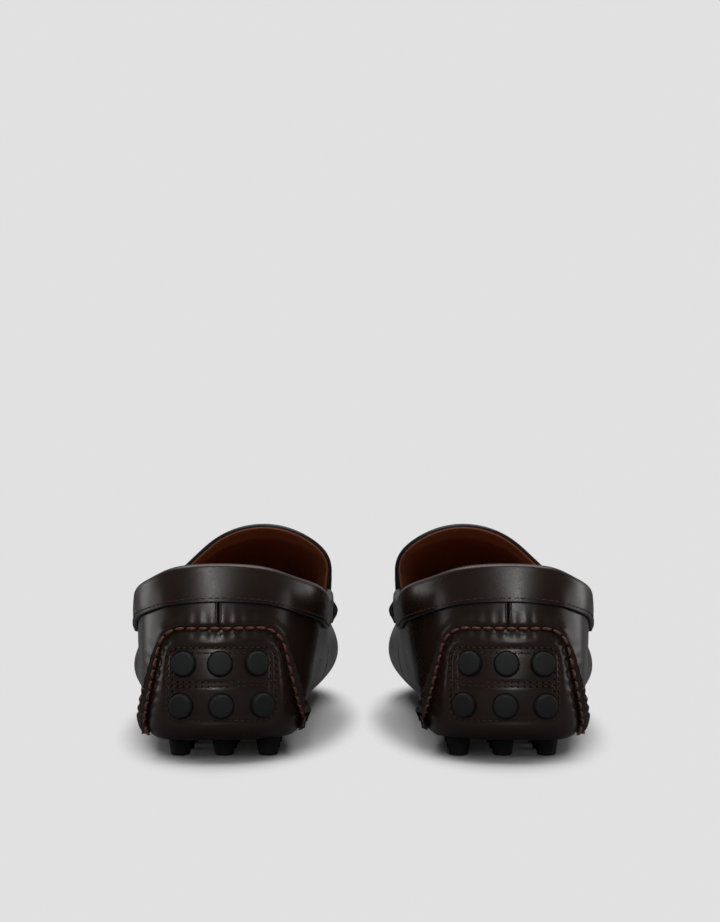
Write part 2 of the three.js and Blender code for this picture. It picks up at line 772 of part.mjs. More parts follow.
// ---- Assembly ----
const PIECES = [
  ["sole_leather", soleLeather(), calf],
  ["heel_back_stud_pad", backStudPad(), rubber],
  ["heel_stud_pad", soleStudPad(1.5, 3.5, HEEL_STUDS), rubber],
  ["forefoot_stud_pad", soleStudPad(5.25, 8 + 2 / 3, FOREFOOT_STUDS), rubber],
  ["insole_board", soleLayer(0.5, 9.5, ABOVE_PAD, BOARD, INNER_MARGIN), board],
  ["footbed_foam", soleLayer(0.5, 9.5, ABOVE_BOARD, FOOTBED, INNER_MARGIN), foam],
  ["sock_lining", soleLayer(0.5, 9.5, ABOVE_FOOTBED, LINING, INNER_MARGIN), liningLeather],
  ["quarter_outer_side", quarter(-1), calf],
  ["quarter_inner_side", quarter(1), calf],
  ["quarter_lining", quarterLining(), liningLeather],
  ["heel_counter", heelCounter(), stiffener],
  ["collar_foam", collarFoam(), foam],
  ["collar_band", collarBand(), calf],
  ["back_seam_welt", backSeamWelt(), calf],
  ["vamp_wall", vampWall(), calf],
  ["vamp_lining", vampLining(), liningLeather],
  ["toe_puff", toePuff(), stiffener],
  ["apron_tongue", apron(), calf],
  ["apron_lining", apronLining(), liningLeather],
  ["saddle_strap", saddleStrap(), calf],
  ["apron_seam_thread", mocSeamThread(), threadFinish],
  ["heel_patch_thread", heelPatchThread(), threadFinish],
];

function shoe(name) {
  const group = new THREE.Group();
  for (const [piece, geometry, material] of PIECES) {
    const mesh = new THREE.Mesh(geometry, material);
    mesh.name = `${name}_${piece}`;
    group.add(mesh);
  }
  return group;
}

// The toe tip and the back studs lie this far from the middle of the pair's length.
const MIDDLE = (LENGTH - BACK_STUD_PROUD - 0.4) / 2;

const left = shoe("left");
left.position.set(-SEAM_SPACING / 2, -MIDDLE, 0);
const right = shoe("right");
right.scale.x = -1;
right.position.set(SEAM_SPACING / 2, -MIDDLE, 0);

const pair = new THREE.Group();
pair.add(left, right);

export default pair;
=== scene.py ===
"""Finished looks of a pair of driving moccasins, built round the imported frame."""

import math

import bpy
import numpy as np
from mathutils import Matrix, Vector


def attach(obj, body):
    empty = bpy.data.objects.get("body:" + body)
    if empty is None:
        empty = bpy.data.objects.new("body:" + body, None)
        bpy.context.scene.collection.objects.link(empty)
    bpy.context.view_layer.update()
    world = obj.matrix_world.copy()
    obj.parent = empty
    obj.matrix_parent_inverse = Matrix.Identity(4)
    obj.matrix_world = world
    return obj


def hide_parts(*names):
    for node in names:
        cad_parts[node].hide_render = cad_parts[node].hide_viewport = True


bl_info = {
    "name": "Driving moccasins",
    "version": (1, 0, 0),
    "blender": (4, 5, 0),
    "location": "View3D > Sidebar > Moccasins",
    "description": "Builds the leather, rubber and thread of a pair of driving moccasins",
    "category": "Object",
}

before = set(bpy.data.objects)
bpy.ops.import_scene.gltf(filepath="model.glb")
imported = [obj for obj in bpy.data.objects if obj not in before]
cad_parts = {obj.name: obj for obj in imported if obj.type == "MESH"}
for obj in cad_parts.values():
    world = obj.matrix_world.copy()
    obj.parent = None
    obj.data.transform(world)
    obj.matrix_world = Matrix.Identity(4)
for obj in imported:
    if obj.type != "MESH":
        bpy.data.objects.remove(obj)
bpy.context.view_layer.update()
SIDES = ("left", "right")
TAU = 2 * math.pi

# ---- The shoe's surface, in millimetres about the left shoe's back seam ----
SEAM_AT = 54.0  # back seam to the middle of the pair
MIDDLE = 142.7  # back seam to the middle of the length
LENGTH = 288.0
ROUND = 20  # stations round the shoe: 0 the back seam, 10 the toe tip
LEATHER = 1.4
LINING = 0.8
BAND_DEPTH = 12.6
BAND_ROLL = 3.0
ROLL_MIDDLE, ROLL_HALF = -2.85, 4.45  # the rolled top, across the wall
BAND_NARROW = (0.16, 0.07)  # share of the band lost at the outer and the inner side
SOLE_HEIGHT = 7.4

INSTEP_RISE = 34.9  # how far the apron arches over the instep
TOE_RISE = 3.4  # and what is left of it at the toe
ARCH_FADE = 1.6
TONGUE_REACH = 10.0  # the tongue's free edge behind the end of the apron
TONGUE_LIFT = 4.4
FRONT = 5.0  # the station where the mouth ends
BAND_END = 4.985
LINING_END = 4.98
SIDE_SEAM = 5.49  # where the quarters end over the vamp
VAMP_START = 5.36
STRAP_OUT = 1.9  # the saddle strap's face off the uppers
STRAP_LEATHER = 1.7
MACHINE_STITCH = (8, 6, False)  # segments, ring and plies of a plain fine stitch

HEEL = {"half": 33.0, "at": 38.0, "square": 0.8, "skew": 0.1}
SIDE_POINTS = {-1: [(41, 88), (46, 124), (57, 186)], 1: [(34, 88), (36, 124), (38.6, 186)]}
TOE = {"centre": 6.0, "depth": 62.0, -1: 57.0, 1: 35.0}

# [feather inset, feather height, bulge height, top inset, top height]
WALL_OUTER = [
    [6, 8, 28, 7, 72],
    [5, 8, 28, 5.5, 70.8],
    [4, 8, 27, 2.5, 66.5],
    [3.5, 8.5, 23, -1.5, 62],
    [5.5, 9.5, 21, -0.5, 54],
    [6.5, 9.5, 22, 6, 55],
    [8.5, 9, 24, 18, 50],
    [8.5, 10.5, 25.5, 18, 46],
    [9, 13.5, 26, 17, 43.5],
    [9, 15, 26.5, 15.5, 41.8],
    [9, 15.5, 27, 15, 41],
]
WALL_INNER = [
    WALL_OUTER[0],
    WALL_OUTER[1],
    [4, 8, 27, 1, 66.5],
    [4.5, 8.5, 27, -4, 62],
    [8.5, 12, 29, -4.5, 55.5],
    [8, 11, 28, -2.5, 57],
    [8, 9, 25, 9, 52],
    [8, 10.5, 25.5, 10.5, 47],
    [9, 13.5, 26, 13, 44.2],
    [9, 15, 26.5, 14.5, 42],
    WALL_OUTER[10],
]


def spline(points):
    """A closed curve through the points, one station from each to the next."""
    knots = np.asarray(points, float)
    count = len(knots)

    def at(station):
        s = np.asarray(station, float)
        k = np.floor(s).astype(int)
        u = (s - k)[..., None]
        a, b, c, d = (knots[(k + i) % count] for i in (-1, 0, 1, 2))
        cubic = -a + 3 * b - 3 * c + d
        square = 2 * a - 5 * b + 4 * c - d
        return 0.5 * (2 * b + (c - a) * u + square * u**2 + cubic * u**3)

    return at


def outline_points(side):
    points = []
    for deg in (0, 30, 60, 90):
        a = math.radians(deg)
        across = side * HEEL["half"] * math.sin(a) ** HEEL["square"]
        along = HEEL["at"] * (1 - max(0.0, math.cos(a)) ** HEEL["square"])
        points.append((across, along + HEEL["skew"] * across))
    points += [(side * x, y) for x, y in SIDE_POINTS[side]]
    for deg in (90, 60, 30, 0):
        a = math.radians(deg)
        reach = side * TOE[side] * math.sin(a)
        points.append((TOE["centre"] + reach, LENGTH - TOE["depth"] * (1 - math.cos(a))))
    return points


def round_trip(outer, inner):
    return list(outer) + list(inner[1:-1])[::-1]


def build_curves():
    plan = np.array(round_trip(outline_points(-1), outline_points(1)))
    wall = np.array(round_trip(WALL_OUTER, WALL_INNER), float)
    stations = np.arange(ROUND, dtype=float)
    flat = spline(plan)
    along = flat(stations + 0.002) - flat(stations)
    along /= np.linalg.norm(along, axis=1)[:, None]
    inward = np.stack([along[:, 1], -along[:, 0]], axis=1)

    def level(inset, height):
        xy = plan + inward * wall[:, inset, None]
        return spline(np.column_stack([xy, wall[:, height]]))

    return level(0, 1), spline(np.column_stack([plan, wall[:, 2]])), level(3, 4)


feather, bulge, top_edge = build_curves()


def wall_surface(s, v):
    """The wall at station s: v runs from the feather, 0, to the topline, 1."""
    s, v = np.broadcast_arrays(np.asarray(s, float), np.asarray(v, float))
    foot, head = feather(s), top_edge(s)
    pull = 2 * bulge(s) - 0.5 * (foot + head)
    v = v[..., None]
    return foot * (1 - v) ** 2 + pull * 2 * v * (1 - v) + head * v**2


def unit(vectors):
    return vectors / np.maximum(np.linalg.norm(vectors, axis=-1, keepdims=True), 1e-9)


def wall_normal(s, v):
    d = 0.01
    along = wall_surface(np.add(s, d), v) - wall_surface(np.subtract(s, d), v)
    up = wall_surface(s, np.add(v, d)) - wall_surface(s, np.subtract(v, d))
    return unit(np.cross(up, along))


def wall_point(s, v, out):
    s, v, out = np.broadcast_arrays(*(np.asarray(a, float) for a in (s, v, out)))
    return wall_surface(s, v) + wall_normal(s, v) * out[..., None]


def smooth_step(x, low=0.0, high=1.0):
    t = np.clip((np.asarray(x, float) - low) / (high - low), 0, 1)
    return t * t * (3 - 2 * t)


def bell(x, centre, width):
    return np.exp(-(((x - centre) / width) ** 2))


def band_foot(s):
    """Where the collar band's lower edge lies; the band narrows towards the outer side."""
    s = np.asarray(s, float)
    rise = np.linalg.norm(wall_surface(s, 1.0) - wall_surface(s, 0.99), axis=-1) * 100
    turn = (s + ROUND / 2) % ROUND - ROUND / 2
    narrow = 1 - BAND_NARROW[0] * smooth_step(turn, 0.8, 3) * (1 - smooth_step(turn, 3.4, 4.8))
    narrow = narrow - BAND_NARROW[1] * smooth_step(-turn, 0.8, 3)
    return 1 - BAND_DEPTH * narrow / rise


def heel_place(x, z):
    """Station and share of the wall at a distance across and a height, at the heel."""
    s, v = np.zeros_like(x), np.full_like(x, 0.5)
    step = 0.02
    for _ in range(14):
        here = wall_surface(s, v)
        side = wall_surface(s + step, v)[..., 0] - here[..., 0]
        climb = wall_surface(s, v + step)[..., 2] - here[..., 2]
        s = s + step * (x - here[..., 0]) / side
        v = v + step * (z - here[..., 2]) / climb
    return s, v


# ---- The bottom ----
SPRING_FROM, SPRING_REACH, SPRING_RISE = 215, 73, 9  # the sole's lift towards the toe
WAIST, WAIST_REACH, WAIST_RISE = 106, 36, 2  # and under the waist of the foot


def sole_level(y):
    spring = np.maximum(0, (y - SPRING_FROM) / SPRING_REACH)
    arch = np.maximum(0, 1 - ((y - WAIST) / WAIST_REACH) ** 2) ** 2
    return SOLE_HEIGHT + SPRING_RISE * spring**2 + WAIST_RISE * arch


def spine(s):
    """The line down the middle of the bottom that the stations fan out from."""
    turn = np.abs((np.asarray(s, float) + ROUND / 2) % ROUND - ROUND / 2)
    middle = np.clip(turn, 3, 7.5)
    return 0.5 * (feather(middle) + feather(ROUND - middle))


def bottom_point(s, inside, up=0.0, margin=0.0):
    """A point of the bottom, a distance inside the feather; up is into the shoe."""
    s, inside = np.broadcast_arrays(np.asarray(s, float), np.asarray(inside, float))
    rim, centre = feather(s), spine(s)
    reach = centre - rim
    reach[..., 2] = 0
    length = np.linalg.norm(reach, axis=-1)
    p = rim + unit(reach) * np.minimum(inside + margin, length)[..., None]
    lift = (rim[..., 2] - sole_level(rim[..., 1])) * np.maximum(0, 1 - inside / 12) ** 2
    p[..., 2] = sole_level(p[..., 1]) + lift + up
    return p


# ---- The heel patch, as seen from behind ----
PATCH = {"top": 50.0, "top_half": 21.0, "shift": 0.6, "foot_half": 30.0, "foot": 9.0, "corner": 8.2}
PANEL = {"x": (-19.3, 21.2), "z": (16.0, 43.2), "corner": 4.5, "middle": 29.7}


PATCH_WIDEST = 30.4
PATCH_TURN, PATCH_TURN_BELOW = 0.022, 20  # how it turns in under the heel, below a height


def patch_half(z, grow=0.0):
    """Half the patch's width at a height; low down it follows the heel round."""
    lean = (PATCH["foot_half"] - PATCH["top_half"]) / (PATCH["top"] - PATCH["foot"])
    plain = PATCH["top_half"] + grow + (PATCH["top"] - z) * lean
    return np.minimum(plain, PATCH_WIDEST - PATCH_TURN * np.maximum(0, PATCH_TURN_BELOW - z) ** 2)


def patch_side(grow, foot, count):
    """(half width, height) up one side of the patch and round its corner to the top."""
    top = PATCH["top"] + grow
    below = top - PATCH["corner"]
    heights = np.linspace(foot, below, count)
    straight = np.column_stack([patch_half(heights, grow), heights])
    u = np.linspace(0, 1, max(6, count // 3))[1:, None]
    a = np.array([patch_half(below, grow), below])
    b = np.array([patch_half(top, grow), top])
    c = b - (PATCH["corner"], 0)
    return np.vstack([straight, a * (1 - u) ** 2 + b * 2 * u * (1 - u) + c * u**2])


def even(points, step):
    """The same line with its points a step apart."""
    points = np.asarray(points, float)
    run = np.concatenate([[0], np.cumsum(np.linalg.norm(np.diff(points, axis=0), axis=1))])
    count = max(2, int(round(run[-1] / step)) + 1)
    at = np.linspace(0, run[-1], count)
    return np.column_stack([np.interp(at, run, points[:, k]) for k in range(points.shape[1])])


def patch_outline(grow, foot, step):
    side = patch_side(grow, foot, 40)
    left = side * (-1, 1)
    right = side[::-1]
    line = np.vstack([left, right])
    line[:, 0] += PATCH["shift"]
    return even(line, step)


SEAM_LINE = patch_outline(0.0, -14.0, 0.6)
SEAM_RUN = np.arange(len(SEAM_LINE)) * np.linalg.norm(SEAM_LINE[1] - SEAM_LINE[0])


def seam_distance(x, z):
    """Distance from the patch's outline, negative inside it, and the run along it."""
    shape = x.shape
    p = np.column_stack([x.ravel(), z.ravel()])
    away = np.full(len(p), 1e9)
    run = np.zeros(len(p))
    for k, knot in enumerate(SEAM_LINE):
        d = np.hypot(p[:, 0] - knot[0], p[:, 1] - knot[1])
        closer = d < away
        away[closer] = d[closer]
        run[closer] = SEAM_RUN[k]
    inside = np.ones(len(p), bool)
    corners = SEAM_LINE[::6]
    for start, end in zip(corners, np.roll(corners, -1, axis=0)):
        edge = end - start
        inside &= edge[0] * (p[:, 1] - start[1]) - edge[1] * (p[:, 0] - start[0]) <= 0.05
    return np.where(inside, -away, away).reshape(shape), run.reshape(shape)


def box_distance(x, z):
    """Distance from the stitched panel's rounded outline, negative inside."""
    (x0, x1), (z0, z1), r = PANEL["x"], PANEL["z"], PANEL["corner"]
    dx = np.abs(x - (x0 + x1) / 2) - (x1 - x0) / 2 + r
    dz = np.abs(z - (z0 + z1) / 2) - (z1 - z0) / 2 + r
    outside = np.hypot(np.maximum(dx, 0), np.maximum(dz, 0))
    return outside + np.minimum(np.maximum(dx, dz), 0) - r


STITCH = 4.3  # from one hand stitch to the next
APRON_STITCH = 4.6


PUFF, PUFF_EDGE, PUFF_SUNK = 0.95, 2.2, 0.35  # the padded look of the patch inside its stitches
GATHER = 0.09  # the puckers between the stitches
TUCK = 2.3  # how far the quarters lie in behind the patch


def patch_relief(x, z):
    away, run = seam_distance(x, z)
    deep = -away
    wave = np.cos(TAU * run / STITCH)
    puff = PUFF * (1 - np.exp(-((deep / PUFF_EDGE) ** 2))) - PUFF_SUNK
    gather = GATHER * wave * bell(deep, 1.8, 1.5)
    panel = box_distance(x, z)
    settle = -0.55 * smooth_step(-panel, -2.5, 0.8)
    groove = -0.32 * (bell(panel, 0, 0.45) + 0.8 * bell(panel, -1.9, 0.4))
    middle = np.minimum(np.abs(z - PANEL["middle"] - 0.8), np.abs(z - PANEL["middle"] + 0.8))
    groove -= 0.3 * bell(middle, 0, 0.4) * (panel < -1)
    return puff + gather + settle + groove


def quarter_relief(p, s):
    """How far the quarters stand off the plain wall round the heel patch."""
    x, z = p[..., 0], p[..., 2]
    away, run = seam_distance(x, z)
    wave = np.cos(TAU * run / STITCH)
    tuck = -TUCK * smooth_step(-away, -0.2, 1.1)
    ridge = bell(away, 2.7, 1.1) * (0.72 + 0.12 * wave)
    valley = -0.55 * bell(away, 0.4, 0.9)
    fold = bell(away, 4.4, 2.4) * 0.05 * wave
    heel = (p[..., 1] < 46).astype(float)
    high = 0.12 + 0.88 * smooth_step(z, 44, 51)
    return heel * (tuck + ridge * high + valley + fold)


# ---- Meshes ----
def place(points, side):
    """From the left shoe's millimetres to metres in the shared frame."""
    p = np.array(points, float).reshape(-1, 3)
    p[:, 0] -= SEAM_AT
    p[:, 1] -= MIDDLE
    if side == "right":
        p[:, 0] *= -1
    return p / 1000


def turn_outward(mesh):
    mesh.calc_loop_triangles()
    corners = np.empty(len(mesh.loop_triangles) * 3, np.int32)
    mesh.loop_triangles.foreach_get("vertices", corners)
    co = np.empty(len(mesh.vertices) * 3)
    mesh.vertices.foreach_get("co", co)
    a, b, c = co.reshape(-1, 3)[corners.reshape(-1, 3)].transpose(1, 0, 2)
    if np.einsum("ij,ij->i", a, np.cross(b, c)).sum() < 0:
        mesh.flip_normals()


def new_piece(name, side, shell, material, sharp):
    """A closed shell as an object in the shared frame."""
    points, faces = shell
    mesh = bpy.data.meshes.new(name)
    mesh.from_pydata(place(points, side).tolist(), [], [list(map(int, f)) for f in faces])
    mesh.validate()
    turn_outward(mesh)
    mesh.materials.append(material)
    mesh.shade_smooth()
    mesh.set_sharp_from_angle(angle=math.radians(sharp))
    piece = bpy.data.objects.new(f"{side}_{name}", mesh)
    bpy.context.scene.collection.objects.link(piece)
    return piece


def settle(piece, side, slot, *nodes):
    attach(piece, f"{side}_shoe")
    if nodes:
        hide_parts(*[f"{side}_{node}" for node in nodes])
    return piece


def add(name, side, shell, material, sharp, slot, *nodes):
    return settle(new_piece(name, side, shell, material, sharp), side, slot, *nodes)


def grid_faces(rows, columns, first=0, flip=False, wrap=False):
    at = np.arange(rows * columns).reshape(rows, columns) + first
    if wrap:
        at = np.vstack([at, at[:1]])
    quads = np.stack([at[:-1, :-1], at[1:, :-1], at[1:, 1:], at[:-1, 1:]], axis=-1).reshape(-1, 4)
    return quads[:, ::-1] if flip else quads


def slab(outer, inner, rounding=0.35):
    """A sheet with thickness and a softly rounded rim, between two grids of points."""
    rows, columns = outer.shape[:2]
    under = rows * columns
    rim = [(i, 0) for i in range(rows - 1)] + [(rows - 1, j) for j in range(columns - 1)]
    rim += [(i, columns - 1) for i in range(rows - 1, 0, -1)]
    rim += [(0, j) for j in range(columns - 1, 0, -1)]
    i, j = np.array(rim).T
    ni, nj = np.clip(i, 1, rows - 2), np.clip(j, 1, columns - 2)
    out = unit(outer[i, j] - outer[ni, nj])
    thick = np.linalg.norm(outer[i, j] - inner[i, j], axis=1)[:, None]
    ring = 0.5 * (outer[i, j] + inner[i, j]) + out * thick * rounding
    a = i * columns + j
    b = np.roll(a, -1)
    m = 2 * under + np.arange(len(a))
    n = np.roll(m, -1)
    faces = [
        grid_faces(rows, columns),
        grid_faces(rows, columns, under, True),
        np.column_stack([b, a, m, n]),
        np.column_stack([n, m, under + a, under + b]),
    ]
    return np.vstack([outer.reshape(-1, 3), inner.reshape(-1, 3), ring]), np.vstack(faces)


def ring_slab(outer, inner):
    """A dish closed round its rows, with its last column drawn to a point on each face."""
    rows, columns = outer.shape[:2]
    under = rows * columns
    start = np.arange(rows) * columns
    turn = np.roll(start, -1)
    rim = np.column_stack([turn, start, under + start, under + turn])
    end = start + columns - 1
    faces = np.vstack([
        grid_faces(rows, columns, 0, False, True),
        grid_faces(rows, columns, under, True, True),
        rim,
    ]).tolist()
    faces.append(end.tolist())
    faces.append((under + end[::-1]).tolist())
    return np.vstack([outer.reshape(-1, 3), inner.reshape(-1, 3)]), faces


def tube(sections, closed=False):
    """Rings of points joined one to the next, with flat ends unless closed."""
    count, ring = sections.shape[:2]
    at = np.arange(count * ring).reshape(count, ring)
    if closed:
        at = np.vstack([at, at[:1]])
    nxt = np.roll(at, -1, axis=1)
    quads = np.stack([at[:-1], nxt[:-1], nxt[1:], at[1:]], axis=-1).reshape(-1, 4).tolist()
    if not closed:
        quads.append(at[0][::-1].tolist())
        quads.append(at[-1].tolist())
    return sections.reshape(-1, 3), quads


def join(shells):
    """Several closed shells as one."""
    points, faces, first = [], [], 0
    for p, f in shells:
        points.append(p)
        faces += [[int(k) + first for k in face] for face in f]
        first += len(p)
    return np.vstack(points), faces


def bead(path, normals, wide, high, ring=10, taper=0, phase=None):
    """A rounded strip along a path; normals point away from what it lies on."""
    path = np.asarray(path, float)
    along = unit(np.gradient(path, axis=0))
    normals = unit(normals - along * np.sum(normals * along, axis=1)[:, None])
    across = np.cross(along, normals)
    a = np.linspace(0, TAU, ring, endpoint=False)
    size = np.ones(len(path))
    if taper:
        k = np.arange(taper)
        fade = np.sqrt(1 - (1 - (k + 0.6) / taper) ** 2)
        size[:taper] *= fade
        size[-taper:] *= fade[::-1]
    if phase is not None:
        size = size * phase
    wide, high = np.broadcast_to(wide, len(path)), np.broadcast_to(high, len(path))
    spread = across[:, None] * (np.cos(a)[None, :, None] * (wide * size)[:, None, None])
    lift = normals[:, None] * (np.sin(a)[None, :, None] * (high * size)[:, None, None])
    return tube(path[:, None] + spread + lift)


def sheet_normals(grid, wrap=False):
    if wrap:
        along = np.roll(grid, -1, axis=0) - np.roll(grid, 1, axis=0)
    else:
        along = np.gradient(grid, axis=0)
    across = np.gradient(grid, axis=1)
    return unit(np.cross(across, along))


def upward_normals(grid):
    """The grid's normals, turned so that they point up in its middle."""
    normals = sheet_normals(grid)
    rows, columns = grid.shape[:2]
    return -normals if normals[rows // 2, columns // 2, 2] < 0 else normals


def with_run(points, normals):
    """A line to lay things on, with its own run."""
    return points, np.gradient(points, axis=0), normals


def soften(grid, centre, reach, turns):
    """Rounds a crease that runs along one column of a grid."""
    low, high = centre - reach, centre + reach + 1
    for _ in range(turns):
        beside = grid[:, low - 1 : high - 1] + grid[:, low + 1 : high + 1]
        grid[:, low:high] = 0.5 * grid[:, low:high] + 0.25 * beside
    return grid


UNDER = np.array([8.0, 7.0, 6.0, 5.0, 4.0, 3.0, 2.0, 1.0])  # how far the wall turns under


def wall_grid(stations, levels, out=0.0):
    """The wall from under the bottom's edge, round the feather and up to the topline."""
    s = np.asarray(stations, float)[:, None]
    below = bottom_point(s, UNDER[None, :], -0.06)
    above = wall_point(s, np.asarray(levels)[None, :], 0.0)
    grid = np.concatenate([below, above], axis=1)
    grid = soften(grid, len(UNDER), 3, 4)
    normals = sheet_normals(grid)
    normals[:, len(UNDER) + 4 :] = wall_normal(s, np.asarray(levels)[None, 4:])
    return grid + normals * out, normals


LEVELS = np.concatenate([np.linspace(0, 0.1, 7)[:-1], np.linspace(0.1, 1, 52)])


# ---- Geometry Nodes: the same small thing set out along a line or on points ----
def socket(tree, name, kind, way="INPUT", default=None):
    item = tree.interface.new_socket(name=name, in_out=way, socket_type=kind)
    if default is not None:
        item.default_value = default
    return item


def node(tree, kind, **settings):
    made = tree.nodes.new(kind)
    for key, value in settings.items():
        setattr(made, key, value)
    return made


def layout_tree(name, along_line):
    """Instances of one object, turned by the 'run' and 'facing' attributes."""
    tree = bpy.data.node_groups.new(name, "GeometryNodeTree")
    socket(tree, "Geometry", "NodeSocketGeometry")
    socket(tree, "Piece", "NodeSocketObject")
    if along_line:
        socket(tree, "Pitch", "NodeSocketFloat", default=0.005)
    socket(tree, "Unevenness", "NodeSocketFloat", default=0.0)
    socket(tree, "Material", "NodeSocketMaterial")
    socket(tree, "Geometry", "NodeSocketGeometry", "OUTPUT")
    link = tree.links.new
    given = node(tree, "NodeGroupInput")
    result = node(tree, "NodeGroupOutput")
    info = node(tree, "GeometryNodeObjectInfo")
    link(given.outputs["Piece"], info.inputs["Object"])
    points = given.outputs["Geometry"]
    if along_line:
        line = node(tree, "GeometryNodeMeshToCurve")
        spaced = node(tree, "GeometryNodeResampleCurve", mode="LENGTH")
        link(points, line.inputs["Mesh"])
        link(line.outputs["Curve"], spaced.inputs["Curve"])
        link(given.outputs["Pitch"], spaced.inputs["Length"])
        points = spaced.outputs["Curve"]
    turn = None
    for axis, attribute, pivot in (("X", "run", "AUTO"), ("Z", "facing", "X")):
        vector = node(tree, "GeometryNodeInputNamedAttribute", data_type="FLOAT_VECTOR")
        vector.inputs["Name"].default_value = attribute
        align = node(tree, "FunctionNodeAlignRotationToVector", axis=axis, pivot_axis=pivot)
        link(vector.outputs["Attribute"], align.inputs["Vector"])
        if turn:
            link(turn, align.inputs["Rotation"])
        turn = align.outputs["Rotation"]
    chance = node(tree, "FunctionNodeRandomValue", data_type="FLOAT")
    low = node(tree, "ShaderNodeMath", operation="SUBTRACT")
    high = node(tree, "ShaderNodeMath", operation="ADD")
    low.inputs[0].default_value = high.inputs[0].default_value = 1.0
    link(given.outputs["Unevenness"], low.inputs[1])
    link(given.outputs["Unevenness"], high.inputs[1])
    link(low.outputs[0], chance.inputs[2])
    link(high.outputs[0], chance.inputs[3])
    chance.inputs["Seed"].default_value = 7
    setout = node(tree, "GeometryNodeInstanceOnPoints")
    link(points, setout.inputs["Points"])
    link(info.outputs["Geometry"], setout.inputs["Instance"])
    link(turn, setout.inputs["Rotation"])
    link(chance.outputs[1], setout.inputs["Scale"])
    real = node(tree, "GeometryNodeRealizeInstances")
    paint = node(tree, "GeometryNodeSetMaterial")
    link(setout.outputs["Instances"], real.inputs["Geometry"])
    link(real.outputs["Geometry"], paint.inputs["Geometry"])
    link(given.outputs["Material"], paint.inputs["Material"])
    link(paint.outputs["Geometry"], result.inputs["Geometry"])
    return tree


def tree_for(along_line):
    name = "Laid along a line" if along_line else "Set on points"
    return bpy.data.node_groups.get(name) or layout_tree(name, along_line)


def guide(name, side, lines, joined):
    """Points with the 'run' and 'facing' attributes, joined by edges along each line or loose."""
    points, runs, faces, edges, first = [], [], [], [], 0
    for path, run, facing in lines:
        points.append(place(path, side))
        flip = np.array([-1, 1, 1]) if side == "right" else 1
        runs.append(unit(np.asarray(run, float)) * flip)
        faces.append(unit(np.asarray(facing, float)) * flip)
        if joined:
            edges += [(first + k, first + k + 1) for k in range(len(path) - 1)]
        first += len(path)
    mesh = bpy.data.meshes.new(name)
    mesh.from_pydata(np.vstack(points).tolist(), edges, [])
    for key, values in (("run", runs), ("facing", faces)):
        layer = mesh.attributes.new(key, "FLOAT_VECTOR", "POINT")
        layer.data.foreach_set("vector", np.vstack(values).ravel().astype(np.float32))
    guide_object = bpy.data.objects.new(f"{side}_{name}", mesh)
    bpy.context.scene.collection.objects.link(guide_object)
    return guide_object


def lay_out(name, side, lines, shell, material, pitch=None, uneven=0.0):
    """Sets a small shape along lines, or on single points when no pitch is given."""
    points, faces = shell
    part = bpy.data.meshes.new("one")
    part.from_pydata((np.asarray(points) / 1000).tolist(), [], [list(map(int, f)) for f in faces])
    turn_outward(part)
    part.shade_smooth()
    part.set_sharp_from_angle(angle=math.radians(40))
    single = bpy.data.objects.new("one", part)
    bpy.context.scene.collection.objects.link(single)
    carrier = guide(name, side, lines, pitch is not None)
    tree = tree_for(pitch is not None)
    modifier = carrier.modifiers.new("Layout", "NODES")
    modifier.node_group = tree
    values = {"Piece": single, "Material": material, "Unevenness": uneven}
    if pitch is not None:
        values["Pitch"] = pitch / 1000
    for item in tree.interface.items_tree:
        if item.item_type == "SOCKET" and item.name in values:
            modifier[item.identifier] = values[item.name]
    graph = bpy.context.evaluated_depsgraph_get()
    mesh = bpy.data.meshes.new_from_object(carrier.evaluated_get(graph))
    carrier.modifiers.clear()
    carrier.data = mesh
    if not mesh.polygons:
        raise RuntimeError(f"{name} has nothing on it")
    bpy.data.objects.remove(single)
    return carrier


def stitch_shape(length, radius, dip, segments=14, ring=8, plies=True):
    """One stitch lying along X, its ends dipping into the leather."""
    x = np.linspace(-1, 1, segments)
    z = dip * (1 - np.abs(x) ** 3.2) - dip * 0.55
    path = np.column_stack([x * length / 2, np.zeros(segments), z])
    a = np.linspace(0, TAU, ring, endpoint=False)
    size = radius * (1 - 0.35 * np.abs(x) ** 5)
    rings = []
    for k in range(segments):
        twist = 1 + (0.13 * np.cos(2 * a + 5.5 * x[k] * length / 4) if plies else 0)
        ring_yz = np.column_stack([np.zeros(ring), np.cos(a), np.sin(a)])
        rings.append(path[k] + ring_yz * (size[k] * np.ones(ring) * twist)[:, None])
    return tube(np.array(rings))


def shade_lens_shape(radius, stretch=1.25, count=10):
    """Painted shade for a needle hole or a gap, drawn as a dark shallow lens."""
    a = np.linspace(0, TAU, count, endpoint=False)
    rings = []
    for r, z in ((0.45, -0.16), (1.0, 0.0), (0.6, 0.09)):
        across = radius * r
        rings.append(np.column_stack([stretch * across * np.cos(a), across * np.sin(a), np.full(count, z)]))
    return tube(np.array(rings))


def stud_shape(root_radius, tip_radius, length, dome, sink=1.2):
    """A moulded stud standing along Z, its rim rounded and its face slightly domed."""
    profile = [(root_radius + 0.35, -sink), (root_radius + 0.35, -0.1), (root_radius + 0.08, 0.16)]
    profile.append((tip_radius + 0.04, length - 0.75))
    for deg in (0, 30, 60, 85):
        a = math.radians(deg)
        profile.append((tip_radius - 0.6 + 0.6 * math.cos(a), length - 0.6 + 0.6 * math.sin(a)))
    flat = tip_radius - 0.6
    profile += [(flat * k, length + dome * (1 - k * k)) for k in (0.85, 0.6, 0.3, 0.08)]
    a = np.linspace(0, TAU, 44, endpoint=False)
    rings = [np.column_stack([r * np.cos(a), r * np.sin(a), np.full(44, z)]) for r, z in profile]
    return tube(np.array(rings))


# ---- Materials ----
def shader_group(name, inputs, outputs):
    group = bpy.data.node_groups.new(name, "ShaderNodeTree")
    for key, kind, default in inputs:
        socket(group, key, kind, "INPUT", default)
    for key, kind in outputs:
        socket(group, key, kind, "OUTPUT")
    return group, node(group, "NodeGroupInput"), node(group, "NodeGroupOutput")


